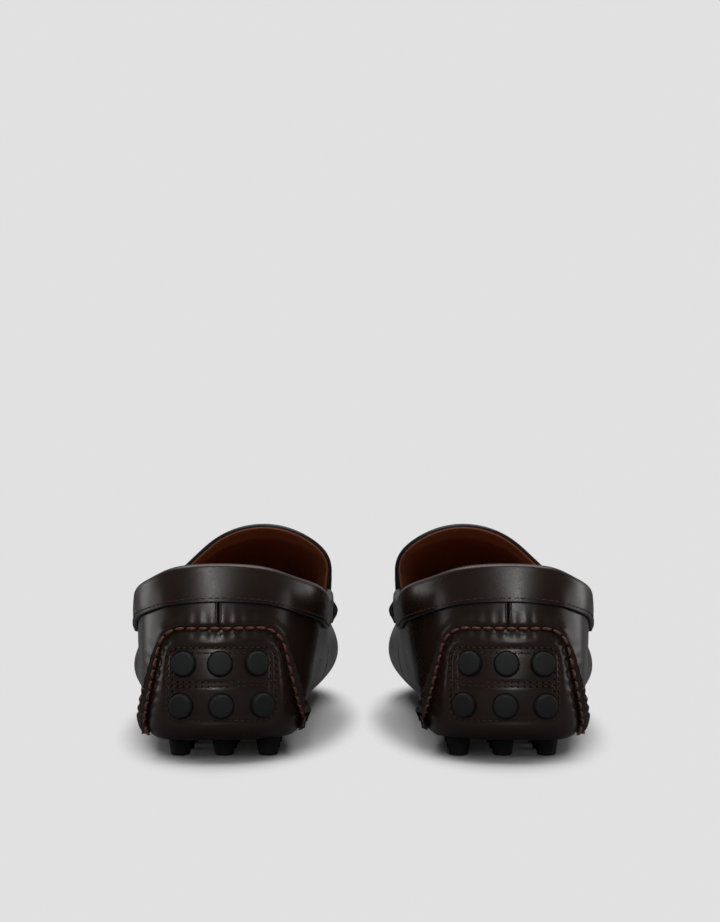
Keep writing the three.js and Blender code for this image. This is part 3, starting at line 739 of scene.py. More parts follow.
def math_node(tree, operation, a, b):
    made = node(tree, "ShaderNodeMath", operation=operation)
    for k, value in enumerate((a, b)):
        if isinstance(value, (int, float)):
            made.inputs[k].default_value = value
        else:
            tree.links.new(value, made.inputs[k])
    return made.outputs[0]


def noise(tree, where, scale, detail=3.0, rough=0.5):
    made = node(tree, "ShaderNodeTexNoise")
    made.inputs["Detail"].default_value = detail
    made.inputs["Roughness"].default_value = rough
    tree.links.new(where, made.inputs["Vector"])
    if isinstance(scale, (int, float)):
        made.inputs["Scale"].default_value = scale
    else:
        tree.links.new(scale, made.inputs["Scale"])
    return made.outputs["Fac"]


def mix_colour(tree, amount, a, b, blend="MIX"):
    made = node(tree, "ShaderNodeMix", data_type="RGBA", blend_type=blend)
    for key, value in ((0, amount), (6, a), (7, b)):
        if isinstance(value, (int, float, tuple)):
            made.inputs[key].default_value = value
        else:
            tree.links.new(value, made.inputs[key])
    return made.outputs[2]


def hide_group():
    """Leather: cloudy dye, pores and fine creases, and a roughness that wanders."""
    found = bpy.data.node_groups.get("Hide")
    if found:
        return found
    group, given, result = shader_group(
        "Hide",
        [
            ("Colour", "NodeSocketColor", (0.05, 0.03, 0.02, 1)),
            ("Worn Colour", "NodeSocketColor", (0.08, 0.05, 0.03, 1)),
            ("Cloudiness", "NodeSocketFloat", 0.3),
            ("Pores", "NodeSocketFloat", 900.0),
            ("Depth", "NodeSocketFloat", 0.1),
            ("Roughness", "NodeSocketFloat", 0.4),
        ],
        [("Colour", "NodeSocketColor"), ("Roughness", "NodeSocketFloat"), ("Normal", "NodeSocketVector")],
    )
    link = group.links.new
    where = node(group, "ShaderNodeTexCoord").outputs["Object"]
    cloud = noise(group, where, 38.0, 4.0, 0.55)
    fine = noise(group, where, 420.0, 3.0, 0.6)
    patchy = math_node(group, "MULTIPLY", cloud, given.outputs["Cloudiness"])
    dyed = mix_colour(group, patchy, given.outputs["Colour"], given.outputs["Worn Colour"])
    link(dyed, result.inputs["Colour"])
    wander = math_node(group, "MULTIPLY", math_node(group, "SUBTRACT", cloud, 0.5), 0.22)
    speck = math_node(group, "MULTIPLY", math_node(group, "SUBTRACT", fine, 0.5), 0.12)
    rough = math_node(group, "ADD", given.outputs["Roughness"], math_node(group, "ADD", wander, speck))
    link(rough, result.inputs["Roughness"])
    cells = node(group, "ShaderNodeTexVoronoi", feature="SMOOTH_F1")
    cells.inputs["Smoothness"].default_value = 0.35
    link(where, cells.inputs["Vector"])
    link(given.outputs["Pores"], cells.inputs["Scale"])
    creases = noise(group, where, 160.0, 5.0, 0.62)
    height = math_node(group, "ADD", cells.outputs["Distance"], math_node(group, "MULTIPLY", creases, 0.9))
    bump = node(group, "ShaderNodeBump")
    bump.inputs["Distance"].default_value = 0.00012
    link(height, bump.inputs["Height"])
    link(given.outputs["Depth"], bump.inputs["Strength"])
    link(bump.outputs["Normal"], result.inputs["Normal"])
    return group


def weave_group():
    """Thread, cloth and rubber: a fine speckle of colour and height."""
    found = bpy.data.node_groups.get("Speckle")
    if found:
        return found
    group, given, result = shader_group(
        "Speckle",
        [
            ("Colour", "NodeSocketColor", (0.1, 0.1, 0.1, 1)),
            ("Second Colour", "NodeSocketColor", (0.2, 0.2, 0.2, 1)),
            ("Size", "NodeSocketFloat", 1200.0),
            ("Depth", "NodeSocketFloat", 0.3),
        ],
        [("Colour", "NodeSocketColor"), ("Normal", "NodeSocketVector")],
    )
    link = group.links.new
    where = node(group, "ShaderNodeTexCoord").outputs["Object"]
    speck = noise(group, where, given.outputs["Size"], 4.0, 0.65)
    dyed = mix_colour(group, speck, given.outputs["Colour"], given.outputs["Second Colour"])
    link(dyed, result.inputs["Colour"])
    bump = node(group, "ShaderNodeBump")
    bump.inputs["Distance"].default_value = 0.0002
    link(speck, bump.inputs["Height"])
    link(given.outputs["Depth"], bump.inputs["Strength"])
    link(bump.outputs["Normal"], result.inputs["Normal"])
    return group


def blank_material(name):
    found = bpy.data.materials.get(name)
    if found:
        return found, None, None
    material = bpy.data.materials.new(name)
    material.use_nodes = True
    tree = material.node_tree
    return material, tree, tree.nodes["Principled BSDF"]


def with_group(name, group, values, constants):
    material, tree, shader = blank_material(name)
    if tree is None:
        return material
    effect = node(tree, "ShaderNodeGroup")
    effect.node_tree = group
    for key, value in values.items():
        effect.inputs[key].default_value = value
    targets = {"Colour": "Base Color", "Roughness": "Roughness", "Normal": "Normal"}
    for key, target in targets.items():
        if key in effect.outputs:
            tree.links.new(effect.outputs[key], shader.inputs[target])
    for key, value in constants.items():
        shader.inputs[key].default_value = value
    return material


def colours():
    return bpy.context.scene.moccasin_colours


def sizes():
    return bpy.context.scene.moccasin_sizes


def tone(colour, factor=1.0):
    return (*[channel * factor for channel in colour[:3]], 1.0)


def calf():
    shade = colours().calf
    values = {"Colour": tone(shade), "Worn Colour": tone(shade, 1.55), "Cloudiness": 0.5}
    values.update({"Pores": 1500.0, "Depth": 0.1, "Roughness": sizes().polish})
    constants = {"Specular IOR Level": 0.42, "Coat Weight": 0.1, "Coat Roughness": 0.2}
    return with_group("Calf", hide_group(), values, constants)


def lining():
    shade = colours().lining
    values = {"Colour": tone(shade), "Worn Colour": tone(shade, 1.35), "Cloudiness": 0.6}
    values.update({"Pores": 1900.0, "Depth": 0.18, "Roughness": 0.55})
    return with_group("Lining leather", hide_group(), values, {"Specular IOR Level": 0.35})


def edge_paint():
    shade = colours().edge_paint
    values = {"Colour": tone(shade), "Second Colour": tone(shade, 1.6), "Size": 300.0, "Depth": 0.05}
    return with_group("Edge paint", weave_group(), values, {"Roughness": 0.42})


def rubber():
    shade = colours().rubber
    values = {"Colour": tone(shade, 0.85), "Second Colour": tone(shade, 1.25)}
    values.update({"Size": 2600.0, "Depth": 0.22})
    finish = {"Roughness": 0.62, "Specular IOR Level": 0.45}
    return with_group("Moulded rubber", weave_group(), values, finish)


def thread():
    shade = colours().thread
    values = {"Colour": tone(shade, 0.7), "Second Colour": tone(shade, 1.4), "Size": 2400.0, "Depth": 0.35}
    return with_group("Waxed thread", weave_group(), values, {"Roughness": 0.5})


def machine_thread():
    shade = colours().thread
    values = {"Colour": tone(shade, 0.22), "Second Colour": tone(shade, 0.55), "Size": 1500.0, "Depth": 0.3}
    return with_group("Machine thread", weave_group(), values, {"Roughness": 0.6})


# Painted shade: a near-black material for the needle holes, the back seam's gap and the rings round the
# heel studs, where shade falls.
def painted_shade_black():
    values = {"Colour": (0.004, 0.003, 0.003, 1), "Second Colour": (0.008, 0.006, 0.005, 1)}
    values.update({"Size": 900.0, "Depth": 0.1})
    return with_group("Painted shade black", weave_group(), values, {"Roughness": 0.85, "Specular IOR Level": 0.1})


def plain(name, shade, size, rough):
    values = {"Colour": tone(shade, 0.85), "Second Colour": tone(shade, 1.15), "Size": size, "Depth": 0.4}
    return with_group(name, weave_group(), values, {"Roughness": rough})


def board():
    return plain("Fibre board", (0.25, 0.17, 0.10), 700.0, 0.85)


def foam():
    return plain("Open-cell foam", (0.60, 0.52, 0.42), 1500.0, 0.95)


def stiffener():
    return plain("Stiffened cloth", (0.33, 0.27, 0.20), 2000.0, 0.85)


# ---- Pieces ----
def stations_between(start, end, dense=20):
    return np.linspace(start, end, int(round(abs(end - start) * dense)) + 1)


def make_bottom(side):
    s = np.linspace(0, ROUND, 320, endpoint=False)[:, None]
    reach = np.linspace(0, 1, 26)[None, :-1] ** 1.3
    width = np.linalg.norm((spine(s) - feather(s))[..., :2], axis=-1)
    inside = 2.5 + (width - 2.5) * reach * 0.985
    outer = bottom_point(s, inside, 0.02)
    inner = bottom_point(s, inside, LEATHER)
    add("bottom_leather", side, ring_slab(outer, inner), calf(), 42, "calf", "sole_leather")


def make_heel_patch(side):
    side_line = even(patch_side(-0.1, 8.6, 60), 0.75)
    t = np.linspace(-1, 1, 121)
    half, z = side_line[:, 0], side_line[:, 1]
    x = PATCH["shift"] + half[None, :] * t[:, None]
    z = np.broadcast_to(z, x.shape).copy()
    s, v = heel_place(x, z)
    face = wall_point(s, v, 0.0)
    first = s[:, 0]
    below = bottom_point(first[:, None], UNDER[None, :], -0.1)
    grid = np.concatenate([below, face], axis=1)
    grid = soften(grid, len(UNDER), 3, 4)
    normals = -sheet_normals(grid)
    relief = np.zeros(grid.shape[:2])
    relief[:, len(UNDER) :] = patch_relief(x, z)
    relief[:, len(UNDER) :] *= smooth_step(z, 8.4, 14)
    grid = grid + normals * relief[..., None]
    shell = slab(grid, grid + sheet_normals(grid) * LEATHER, 0.5)
    add("heel_patch", side, shell, calf(), 60, "calf", "sole_leather")


def make_quarter(side, name, start, end, node_name):
    s = stations_between(start, end, 26)
    grid, normals = wall_grid(s, LEVELS)
    relief = quarter_relief(grid, s)
    relief[:, : len(UNDER)] = np.where(grid[:, : len(UNDER), 1] < 20, -0.5, 0)
    grid = grid + normals * relief[..., None]
    shell = slab(grid, grid - normals * LEATHER)
    add(name, side, shell, calf(), 60, "calf", node_name)


def make_vamp(side):
    s = stations_between(VAMP_START, ROUND - VAMP_START, 18)
    grid, normals = wall_grid(s, LEVELS)
    under = 1 - smooth_step(np.minimum(s - VAMP_START, ROUND - VAMP_START - s), 0.14, 0.24)
    grid = grid - normals * (1.2 * under)[:, None, None]
    shell = slab(grid, grid - normals * LEATHER)
    add("vamp_leather", side, shell, calf(), 60, "calf", "vamp_wall")


def apron_point(s, t, up=0.0):
    """A row of the apron arching from the outer seam to the inner one."""
    s, t = np.broadcast_arrays(np.asarray(s, float), np.asarray(t, float))
    outer, inner = top_edge(s), top_edge(ROUND - s)
    forward = (s - FRONT) / FRONT
    fade = np.clip(1 - forward, 0, 1) ** ARCH_FADE
    width = inner[..., 0] - outer[..., 0]
    lift = INSTEP_RISE * fade + TOE_RISE * (1 - forward)
    near, far = outer.copy(), inner.copy()
    near[..., 0] += width * 0.33
    near[..., 2] += lift * 0.97
    far[..., 0] += width * (-0.33 + 0.37 * fade)
    far[..., 2] += lift
    t = t[..., None]
    arch = outer * (1 - t) ** 3 + near * 3 * t * (1 - t) ** 2 + far * 3 * t**2 * (1 - t) + inner * t**3
    swell = 2.7 * bell(t, 0.84, 0.12) + 2.4 * bell(t, 0.16, 0.12) - 1.8 * bell(t, 0.5, 0.2)
    arch[..., 0] += (swell * np.minimum(1, 12 * t * (1 - t)))[..., 0] * fade
    slope = (near - outer) * (1 - t) ** 2 + (far - near) * 2 * t * (1 - t) + (inner - far) * t**2
    slope = unit(slope)
    arch[..., 0] -= slope[..., 2] * up
    arch[..., 2] += slope[..., 0] * up
    return arch


def apron_grid(columns=71):
    """Rows from the tongue's free edge to the toe."""
    c = np.linspace(0, 1, columns)[None, :]
    stations = np.concatenate([np.full(10, 5.0), np.linspace(5, 9.93, 90)])[:, None]
    spread = 1.35 - 0.35 * smooth_step(stations, 5, 6.5)
    width = np.linalg.norm(top_edge(stations) - top_edge(ROUND - stations), axis=-1)
    start = np.minimum(0.3, 1.0 / width / spread)
    t = start + c * (1 - 2 * start)
    grid = apron_point(np.broadcast_to(stations, t.shape), t)
    back = np.concatenate([np.linspace(1, 0.08, 10), np.zeros(90)])[:, None] * np.sin(math.pi * t)
    grid[..., 1] -= TONGUE_REACH * back
    grid[..., 2] += TONGUE_LIFT * back
    return grid


def make_apron(side):
    grid = apron_grid()
    normals = upward_normals(grid)
    shell = slab(grid, grid - normals * LEATHER)
    add("apron", side, shell, calf(), 50, "calf", "apron_tongue")
    lined = grid - normals * (LEATHER + 0.12)
    shell = slab(lined, lined - normals * LINING)
    add("tongue_lining", side, shell, lining(), 50, "lining", "apron_lining")
    rim = grid[0, 1:-1] - normals[0, 1:-1] * LEATHER * 0.5
    shell = bead(rim, normals[0, 1:-1], 0.35, 0.8, 10)
    add("tongue_edge_paint", side, shell, edge_paint(), 60, "calf")
    path = grid[2, 4:-4] - normals[2, 4:-4] * (LEATHER + LINING + 0.16)
    lines = [with_run(path, -normals[2, 4:-4])]
    shell = stitch_shape(1.9, 0.2, 0.16, *MACHINE_STITCH)
    piece = lay_out("tongue_stitches", side, lines, shell, thread(), 2.5)
    settle(piece, side, "thread")


def collar_profile(s):
    """Rings of the folded band: outer leaf, rolled top, inner leaf, and back inside."""
    foot = band_foot(s)
    u = np.linspace(0, 1, 12)
    ring = []
    for k in u:
        v = foot + (1 - foot) * k
        ring.append((v, 1.6 + 0.3 * math.sin(math.pi * k) ** 0.8, 0.0))
    arc = np.linspace(0, math.pi, 17)[1:-1]
    for a in arc:
        c, h = math.cos(a), math.sin(a)
        ring.append((np.ones_like(s), ROLL_MIDDLE + ROLL_HALF * c, BAND_ROLL * h**0.85))
    for k in u[::-1]:
        ring.append((foot + (1 - foot) * k, -7.3, 0.0))
    for k in u:
        ring.append((foot + (1 - foot) * k, -6.1, 0.0))
    for a in arc[::-1]:
        c, h = math.cos(a), math.sin(a)
        ring.append((np.ones_like(s), ROLL_MIDDLE + (ROLL_HALF - 1.25) * c, (BAND_ROLL - 1.2) * h))
    for k in u[::-1]:
        ring.append((foot + (1 - foot) * k, 0.35, 0.0))
    points = []
    for v, out, up in ring:
        p = wall_point(s, v, out)
        p[..., 2] += up
        points.append(p)
    return np.stack(points, axis=1)


def make_collar(side):
    s = stations_between(-BAND_END, BAND_END, 24)
    shell = tube(collar_profile(s))
    add("collar_band_leather", side, shell, calf(), 50, "calf", "collar_band")
    foot = band_foot(s)
    path = wall_point(s, foot, 0.95)
    shell = bead(path, wall_normal(s, foot), 0.3, 0.74, 10, 3)
    add("collar_edge_paint", side, shell, edge_paint(), 60, "calf")
    rise = np.linalg.norm(wall_surface(s, 1.0) - wall_surface(s, 0.99), axis=-1) * 100
    high = foot + 1.3 / rise
    path = wall_point(s, high, 1.85)
    shell = stitch_shape(1.8, 0.21, 0.2, *MACHINE_STITCH)
    lines = [with_run(path, wall_normal(s, high))]
    piece = lay_out("collar_stitches", side, lines, shell, machine_thread(), 2.6)
    settle(piece, side, "thread")


def heel_line(points, out):
    """A line given across and up, laid on the heel, with its directions."""
    s, v = heel_place(points[:, 0], points[:, 1])
    relief = patch_relief(points[:, 0], points[:, 1])
    return with_run(wall_point(s, v, out + relief), wall_normal(s, v))


def rounded_box(shrink):
    (x0, x1), (z0, z1) = PANEL["x"], PANEL["z"]
    r = PANEL["corner"] - shrink
    x0, x1, z0, z1 = x0 + shrink, x1 - shrink, z0 + shrink, z1 - shrink
    points = []
    left, right, low, high = x0 + r, x1 - r, z0 + r, z1 - r
    for cx, cz, start in ((left, high, 180), (right, high, 90), (right, low, 0), (left, low, -90)):
        for deg in np.linspace(start, start - 90, 8):
            a = math.radians(deg)
            points.append((cx + r * math.cos(a), cz + r * math.sin(a)))
    points.append(points[0])
    return even(points, 0.5)


def make_heel_stitching(side):
    fine = stitch_shape(1.5, 0.26, 0.16, *MACHINE_STITCH)
    outer = heel_line(rounded_box(0.0), 0.26)
    inner = rounded_box(1.9)
    keep = (inner[:, 1] > PANEL["z"][0] + 4) | (np.abs(inner[:, 0] - 1) > 16)
    cut = np.flatnonzero(~keep)
    inner = np.roll(inner[:-1], -(cut[-1] + 1), axis=0)[: len(inner) - 1 - len(cut)]
    x0, x1 = PANEL["x"][0] + 0.7, PANEL["x"][1] - 0.7
    lines = [outer, heel_line(inner, 0.26)]
    for shift in (-0.8, 0.8):
        bar = even([(x0, PANEL["middle"] + shift), (x1, PANEL["middle"] + shift)], 0.5)
        lines.append(heel_line(bar, 0.26))
    piece = lay_out("panel_stitches", side, lines, fine, machine_thread(), 2.3)
    settle(piece, side, "thread")
    # Painted shade: dark lenses between the stitches stand for the shade in the needle holes.
    between = [(path[2:], run[2:], facing[2:]) for path, run, facing in lines]
    piece = lay_out("panel_holes", side, between, shade_lens_shape(0.38), painted_shade_black(), 2.3)
    settle(piece, side, "thread")
    seam = patch_outline(0.35, 10.6, 0.4)
    s, v = heel_place(seam[:, 0], seam[:, 1])
    path, run, facing = with_run(wall_point(s, v, 0.85), wall_normal(s, v))
    coarse = stitch_shape(sizes().stitch_length * 1000, sizes().thread_width * 500, 0.75)
    piece = lay_out("hand_stitches", side, [(path, run, facing)], coarse, thread(), STITCH, 0.06)
    settle(piece, side, "thread", "heel_patch_thread")
    skip = 5  # half a stitch along the line
    # Painted shade: dark lenses half a stitch along stand for the shade in the hand-stitch holes.
    low = wall_point(s[skip:], v[skip:], 0.72)
    lines = [(low, run[skip:], facing[skip:])]
    piece = lay_out("hand_stitch_holes", side, lines, shade_lens_shape(0.72), painted_shade_black(), STITCH)
    settle(piece, side, "thread")


FLANGE_SIDE = [(0, 1), (0.5, 1.05), (0.93, 0.95), (1.0, 0.45)]  # share of the width, thickness
FLANGE_PROFILE = [(share, -t) for share, t in FLANGE_SIDE] + FLANGE_SIDE[::-1]


def make_gathered_edge(side):
    """The quarters' edges turned outwards beside the heel patch, scalloped by the stitches."""
    shells = []
    for way in (-1, 1):
        side_line = even(patch_side(0.0, 9.4, 60)[:-8], 0.35)
        x = PATCH["shift"] + way * side_line[:, 0]
        z = side_line[:, 1]
        s, v = heel_place(x, z)
        base = wall_point(s, v, -0.3)
        n = wall_normal(s, v)
        along = unit(np.gradient(base, axis=0))
        out = unit(np.cross(along, n))
        out = out * np.sign(np.sum(out * [way, 0, 0], axis=1))[:, None]
        base = base + out * 1.1
        run = np.arange(len(x)) * 0.35
        low = 1 - smooth_step(z, 12, 50)
        width = (2.0 + 2.6 * low) * (0.3 + 0.7 * (1 - smooth_step(z, 40, 49)))
        width = width + 0.2 * np.cos(TAU * run / STITCH) * (0.3 + low)
        lean = 0.5 + 0.07 * np.cos(TAU * run / STITCH + 1.2)
        direction = unit(n * lean[:, None] + out * 0.85)
        thick = unit(np.cross(along, direction)) * 0.75
        rings = []
        for share, t in FLANGE_PROFILE:
            rings.append(base + direction * (width * share)[:, None] + thick * t)
        sections = np.stack(rings, axis=1)
        shells.append(tube(sections))
    add("gathered_edge", side, join(shells), calf(), 50, "calf")


def make_back_seam(side):
    top = band_foot(0.0) + 0.03
    low = float(heel_place(np.array([0.0]), np.array([PATCH["top"] + 1.9]))[1][0])
    v = np.linspace(low, top, 30)
    shells = []
    for way in (-1, 1):
        s = np.full_like(v, 0.042 * way)
        shells.append(bead(wall_point(s, v, 0.25), wall_normal(s, v), 0.52, 0.55, 12, 4))
    add("back_seam_folds", side, join(shells), calf(), 60, "calf", "back_seam_welt")
    s = np.zeros_like(v)
    shell = bead(wall_point(s, v, 0.1), wall_normal(s, v), 0.18, 0.2, 8, 3)
    add("back_seam_shadow", side, shell, painted_shade_black(), 60, "calf")


def make_linings(side):
    whole, stiff = (0.012, None), stiffener()
    below_band = (0.25, lambda s: band_foot(s) - 0.02)
    for name, start, end, levels, depth, thickness, material, slot, node_name in (
        ("heel_lining", -LINING_END, LINING_END, whole, 4.9, LINING, lining(), "lining", "quarter_lining"),
        ("front_lining", 5.02, 14.98, whole, 3.0, LINING, lining(), "lining", "vamp_lining"),
        ("counter_cloth", -3.5, 3.5, below_band, 3.4, 1.2, stiff, "stiffener", "heel_counter"),
        ("toe_cloth", 7.5, 12.5, (0.25, None), 1.7, 1.0, stiff, "stiffener", "toe_puff"),
    ):
        s = stations_between(start, end, 12)[:, None]
        low, high = levels[0], np.ones_like(s) if levels[1] is None else levels[1](s)
        v = low + (high - low) * np.linspace(0, 1, 30)[None, :]
        shell = slab(wall_point(s, v, -depth), wall_point(s, v, -depth - thickness))
        add(name, side, shell, material, 50, slot, node_name)
    s = stations_between(-LINING_END, LINING_END, 12)[:, None]
    foot = band_foot(s)
    v = foot + (1 - foot) * np.linspace(0, 1, 12)[None, :]
    shell = slab(wall_point(s, v, -1.7), wall_point(s, v, -4.6))
    piece = add("collar_padding", side, shell, foam(), 50, "foam", "collar_foam")


def make_insole(side):
    s = np.linspace(0, ROUND, 240, endpoint=False)[:, None]
    reach = np.linspace(0, 1, 20)[None, :-1] ** 1.2
    width = np.linalg.norm((spine(s) - feather(s))[..., :2], axis=-1)
    layers = (
        ("insole_cover", 7.7, LINING, lining(), "lining", "sock_lining"),
        ("footbed", 4.9, 2.5, foam(), "foam", "footbed_foam"),
        ("insole_backing", 3.4, 1.2, board(), "board", "insole_board"),
    )
    for name, up, thickness, material, slot, node_name in layers:
        margin = 4.0 - up * 0.35
        inside = margin + (width - margin) * reach * 0.985
        outer = bottom_point(s, inside, up)
        inner = bottom_point(s, inside, up + thickness)
        piece = add(name, side, ring_slab(outer, inner), material, 50, slot, node_name)


def make_moc_seam(side):
    """The hand-sewn seam round the apron: a gathered ridge with stitches over it."""
    s = np.linspace(5.78, 14.22, 700)
    path = wall_point(s, 1.0, 0.35)
    path[:, 2] += 0.5
    step = np.linalg.norm(np.diff(path, axis=0), axis=1)
    run = np.concatenate([[0], np.cumsum(step)])
    normals = unit(wall_normal(s, np.ones_like(s)) + np.array([0, 0, 0.9]))
    size = 1 + 0.14 * np.cos(TAU * run / APRON_STITCH)
    shell = bead(path, normals, 1.55, 1.45, 12, 5, size)
    add("apron_seam_ridge", side, shell, calf(), 60, "calf")
    along = np.gradient(path, axis=0)
    across = np.cross(unit(along), normals)
    coarse = stitch_shape(3.6, sizes().thread_width * 500, 1.5)
    lines = [(path + normals * 0.65, across + 0.25 * unit(along), normals)]
    piece = lay_out("apron_stitches", side, lines, coarse, thread(), APRON_STITCH, 0.05)
    settle(piece, side, "thread", "apron_seam_thread")


def strap_path(s, out, count=90):
    """The saddle strap across one station, from the outer wall over to the inner."""
    foot = 0.8
    v = np.linspace(foot, 1, 18)
    outer = wall_point(np.full_like(v, s), v, out)
    spread = 1.35 - 0.35 * smooth_step(s, 5, 6.5)
    width = np.linalg.norm(top_edge(s) - top_edge(ROUND - s))
    start = 3.4 / width / spread
    t = np.linspace(start, 1 - start, count)
    over = apron_point(np.full_like(t, s), t, out)
    inner = wall_point(np.full_like(v, ROUND - s), v, out)[::-1]
    line = np.vstack([outer, over, inner])
    for _ in range(14):
        line[1:-1] = 0.5 * line[1:-1] + 0.25 * (line[:-2] + line[2:])
    return even(line, 1.1)


def make_saddle(side):
    stations = np.linspace(5.2, 5.78, 22)
    rows = [strap_path(s, STRAP_OUT) for s in stations]
    count = 110
    grid = np.array([resample(row, count) for row in rows])
    normals = upward_normals(grid)
    run = np.linspace(0, 1, count) * np.linalg.norm(np.diff(grid[11], axis=0), axis=1).sum()
    lump = bell(run, 5.5, 4.0) + bell(run[-1] - run, 5.5, 4.0)
    grid = grid + normals * (2.8 * lump)[None, :, None]
    normals = upward_normals(grid)
    shell = slab(grid, grid - normals * STRAP_LEATHER)
    add("saddle", side, shell, calf(), 50, "calf", "saddle_strap")
    lines = []
    for row in (0, -1):
        path = grid[row] - normals[row] * STRAP_LEATHER / 2
        lines.append(bead(path, normals[row], 0.55, 0.98, 10, 3))
    add("saddle_edge_paint", side, join(lines), edge_paint(), 60, "calf")
    lines = []
    for row in (2, -3):
        facing = normals[row, 3:-3]
        lines.append(with_run(grid[row, 3:-3] + facing * 0.12, facing))
    shell = stitch_shape(1.9, 0.21, 0.16, *MACHINE_STITCH)
    piece = lay_out("saddle_stitches", side, lines, shell, thread(), 2.5)
    settle(piece, side, "thread")


def resample(line, count):
    run = np.concatenate([[0], np.cumsum(np.linalg.norm(np.diff(line, axis=0), axis=1))])
    at = np.linspace(0, run[-1], count)
    return np.column_stack([np.interp(at, run, line[:, k]) for k in range(3)])


BACK_ROWS = [(21.7, 15.0, 1.0), (37.3, 13.5, 0.5)]  # height, pitch and shift of the heel studs


def make_studs(side):
    lines = []
    for height, pitch, shift in BACK_ROWS:
        x = shift + pitch * np.array([-1.0, 0.0, 1.0])
        z = np.full(3, height)
        s, v = heel_place(x, z)
        n = wall_normal(s, v)
        lines.append((wall_point(s, v, 0.0), np.cross([0, 0, 1.0], n), n))
    piece = lay_out("heel_studs", side, lines, stud_shape(4.55, 4.4, 2.1, 0.14), rubber())
    settle(piece, side, "rubber", "heel_back_stud_pad")
    # Painted shadow: a dark disc a little wider than each heel stud, round its foot.
    rings = [(path + facing * 0.35, run, facing) for path, run, facing in lines]
    piece = lay_out("heel_stud_gaps", side, rings, shade_lens_shape(4.95, 1.0, 40), painted_shade_black())
    settle(piece, side, "rubber")
    for name, first, rows, pitch, columns, node_name in (
        ("sole_heel_studs", 25, 3, 17, (-1, 0, 1), "heel_stud_pad"),
        ("sole_forefoot_studs", 152, 6, 18, (-2, -1, 0, 1), "forefoot_stud_pad"),
    ):
        spots = []
        for row in range(rows):
            y = first + row * pitch
            left, right = foot_edges(y)
            for column in columns:
                x = column * pitch
                if min(x - left, right - x) >= 7:
                    spots.append((x, y, SOLE_HEIGHT))
        spots = np.array(spots, float)
        n = len(spots)
        down, ahead = np.tile([0, 0, -1.0], (n, 1)), np.tile([0, 1.0, 0], (n, 1))
        shape = stud_shape(4.6, 3.7, SOLE_HEIGHT - 0.05, 0.05, 3.2)
        piece = lay_out(name, side, [(spots, ahead, down)], shape, rubber())
        settle(piece, side, "rubber", node_name)


def foot_edges(y):
    """The bottom's outer and inner edge at a distance along the shoe."""
    low, high = 0.0, 10.0
    for _ in range(26):
        middle = (low + high) / 2
        here = 0.5 * (feather(middle) + feather(ROUND - middle))[1]
        low, high = (middle, high) if here < y else (low, middle)
    return feather(low)[0], feather(ROUND - low)[0]


# ---- Stage ----
CAMERA_BACK = 0.600  # from the heels to the camera
CAMERA_HEIGHT = 0.094
FOCAL = 62.9
SENSOR = 36.0
SHIFT = (-0.0035792, 0.0553145)  # the lens slid aside, as a share of the sensor
FLOOR_PAPER = 1.0  # the lit paper against the colour further out
SHADE_WIDTH = 0.048  # half the patch of shaded paper under each shoe, across
SHADE_LENGTH = 0.152  # and along


def make_floor(scene, shade):
    """Paper lit and shaded near the shoes, and of one even colour further out."""
    a = np.linspace(0, TAU, 96, endpoint=False)
    disc = bpy.data.meshes.new("floor")
    disc.from_pydata([(6 * math.cos(t), 6 * math.sin(t), -0.0002) for t in a], [], [list(range(96))])
    floor = bpy.data.objects.new("floor", disc)
    scene.collection.objects.link(floor)
    material = bpy.data.materials.new("Paper sweep")
    material.use_nodes = True
    tree = material.node_tree
    link = tree.links.new
    near = tree.nodes["Principled BSDF"]
    near.inputs["Base Color"].default_value = tone(shade, FLOOR_PAPER)
    near.inputs["Roughness"].default_value = 1.0
    near.inputs["Specular IOR Level"].default_value = 0.0
    dim = node(tree, "ShaderNodeBsdfDiffuse")
    dim.inputs["Color"].default_value = (0.16, 0.16, 0.165, 1)
    glow = node(tree, "ShaderNodeEmission")
    glow.inputs["Color"].default_value = tone(shade)
    where = node(tree, "ShaderNodeTexCoord").outputs["Object"]
    folded = node(tree, "ShaderNodeVectorMath", operation="ABSOLUTE")
    link(where, folded.inputs[0])
    stretch = node(tree, "ShaderNodeMapping", vector_type="TEXTURE")
    stretch.inputs["Location"].default_value = (SEAM_AT / 1000, 0.0, 0.0)
    stretch.inputs["Scale"].default_value = (SHADE_WIDTH, SHADE_LENGTH, 1.0)
    link(folded.outputs["Vector"], stretch.inputs["Vector"])
    length = node(tree, "ShaderNodeVectorMath", operation="LENGTH")
    link(stretch.outputs["Vector"], length.inputs[0])
    ramp = node(tree, "ShaderNodeMapRange", interpolation_type="SMOOTHSTEP")
    ramp.inputs["From Min"].default_value = 0.86
    ramp.inputs["From Max"].default_value = 1.17
    link(length.outputs["Value"], ramp.inputs["Value"])
    seen = node(tree, "ShaderNodeMixShader")
    link(ramp.outputs["Result"], seen.inputs[0])
    link(near.outputs[0], seen.inputs[1])
    link(glow.outputs[0], seen.inputs[2])
    mix = node(tree, "ShaderNodeMixShader")
    link(node(tree, "ShaderNodeLightPath").outputs["Is Camera Ray"], mix.inputs[0])
    link(dim.outputs[0], mix.inputs[1])
    link(seen.outputs[0], mix.inputs[2])
    link(mix.outputs[0], tree.nodes["Material Output"].inputs["Surface"])
    disc.materials.append(material)


def make_camera(scene):
    camera = bpy.data.cameras.new("camera")
    camera.lens = FOCAL
    camera.sensor_width = SENSOR
    camera.shift_x = SHIFT[0]
    camera.shift_y = SHIFT[1]
    camera.clip_start = 0.02
    view = bpy.data.objects.new("camera", camera)
    view.location = (0, -MIDDLE / 1000 - CAMERA_BACK, CAMERA_HEIGHT)
    view.rotation_euler = (math.pi / 2, 0, 0)
    scene.collection.objects.link(view)
    scene.camera = view


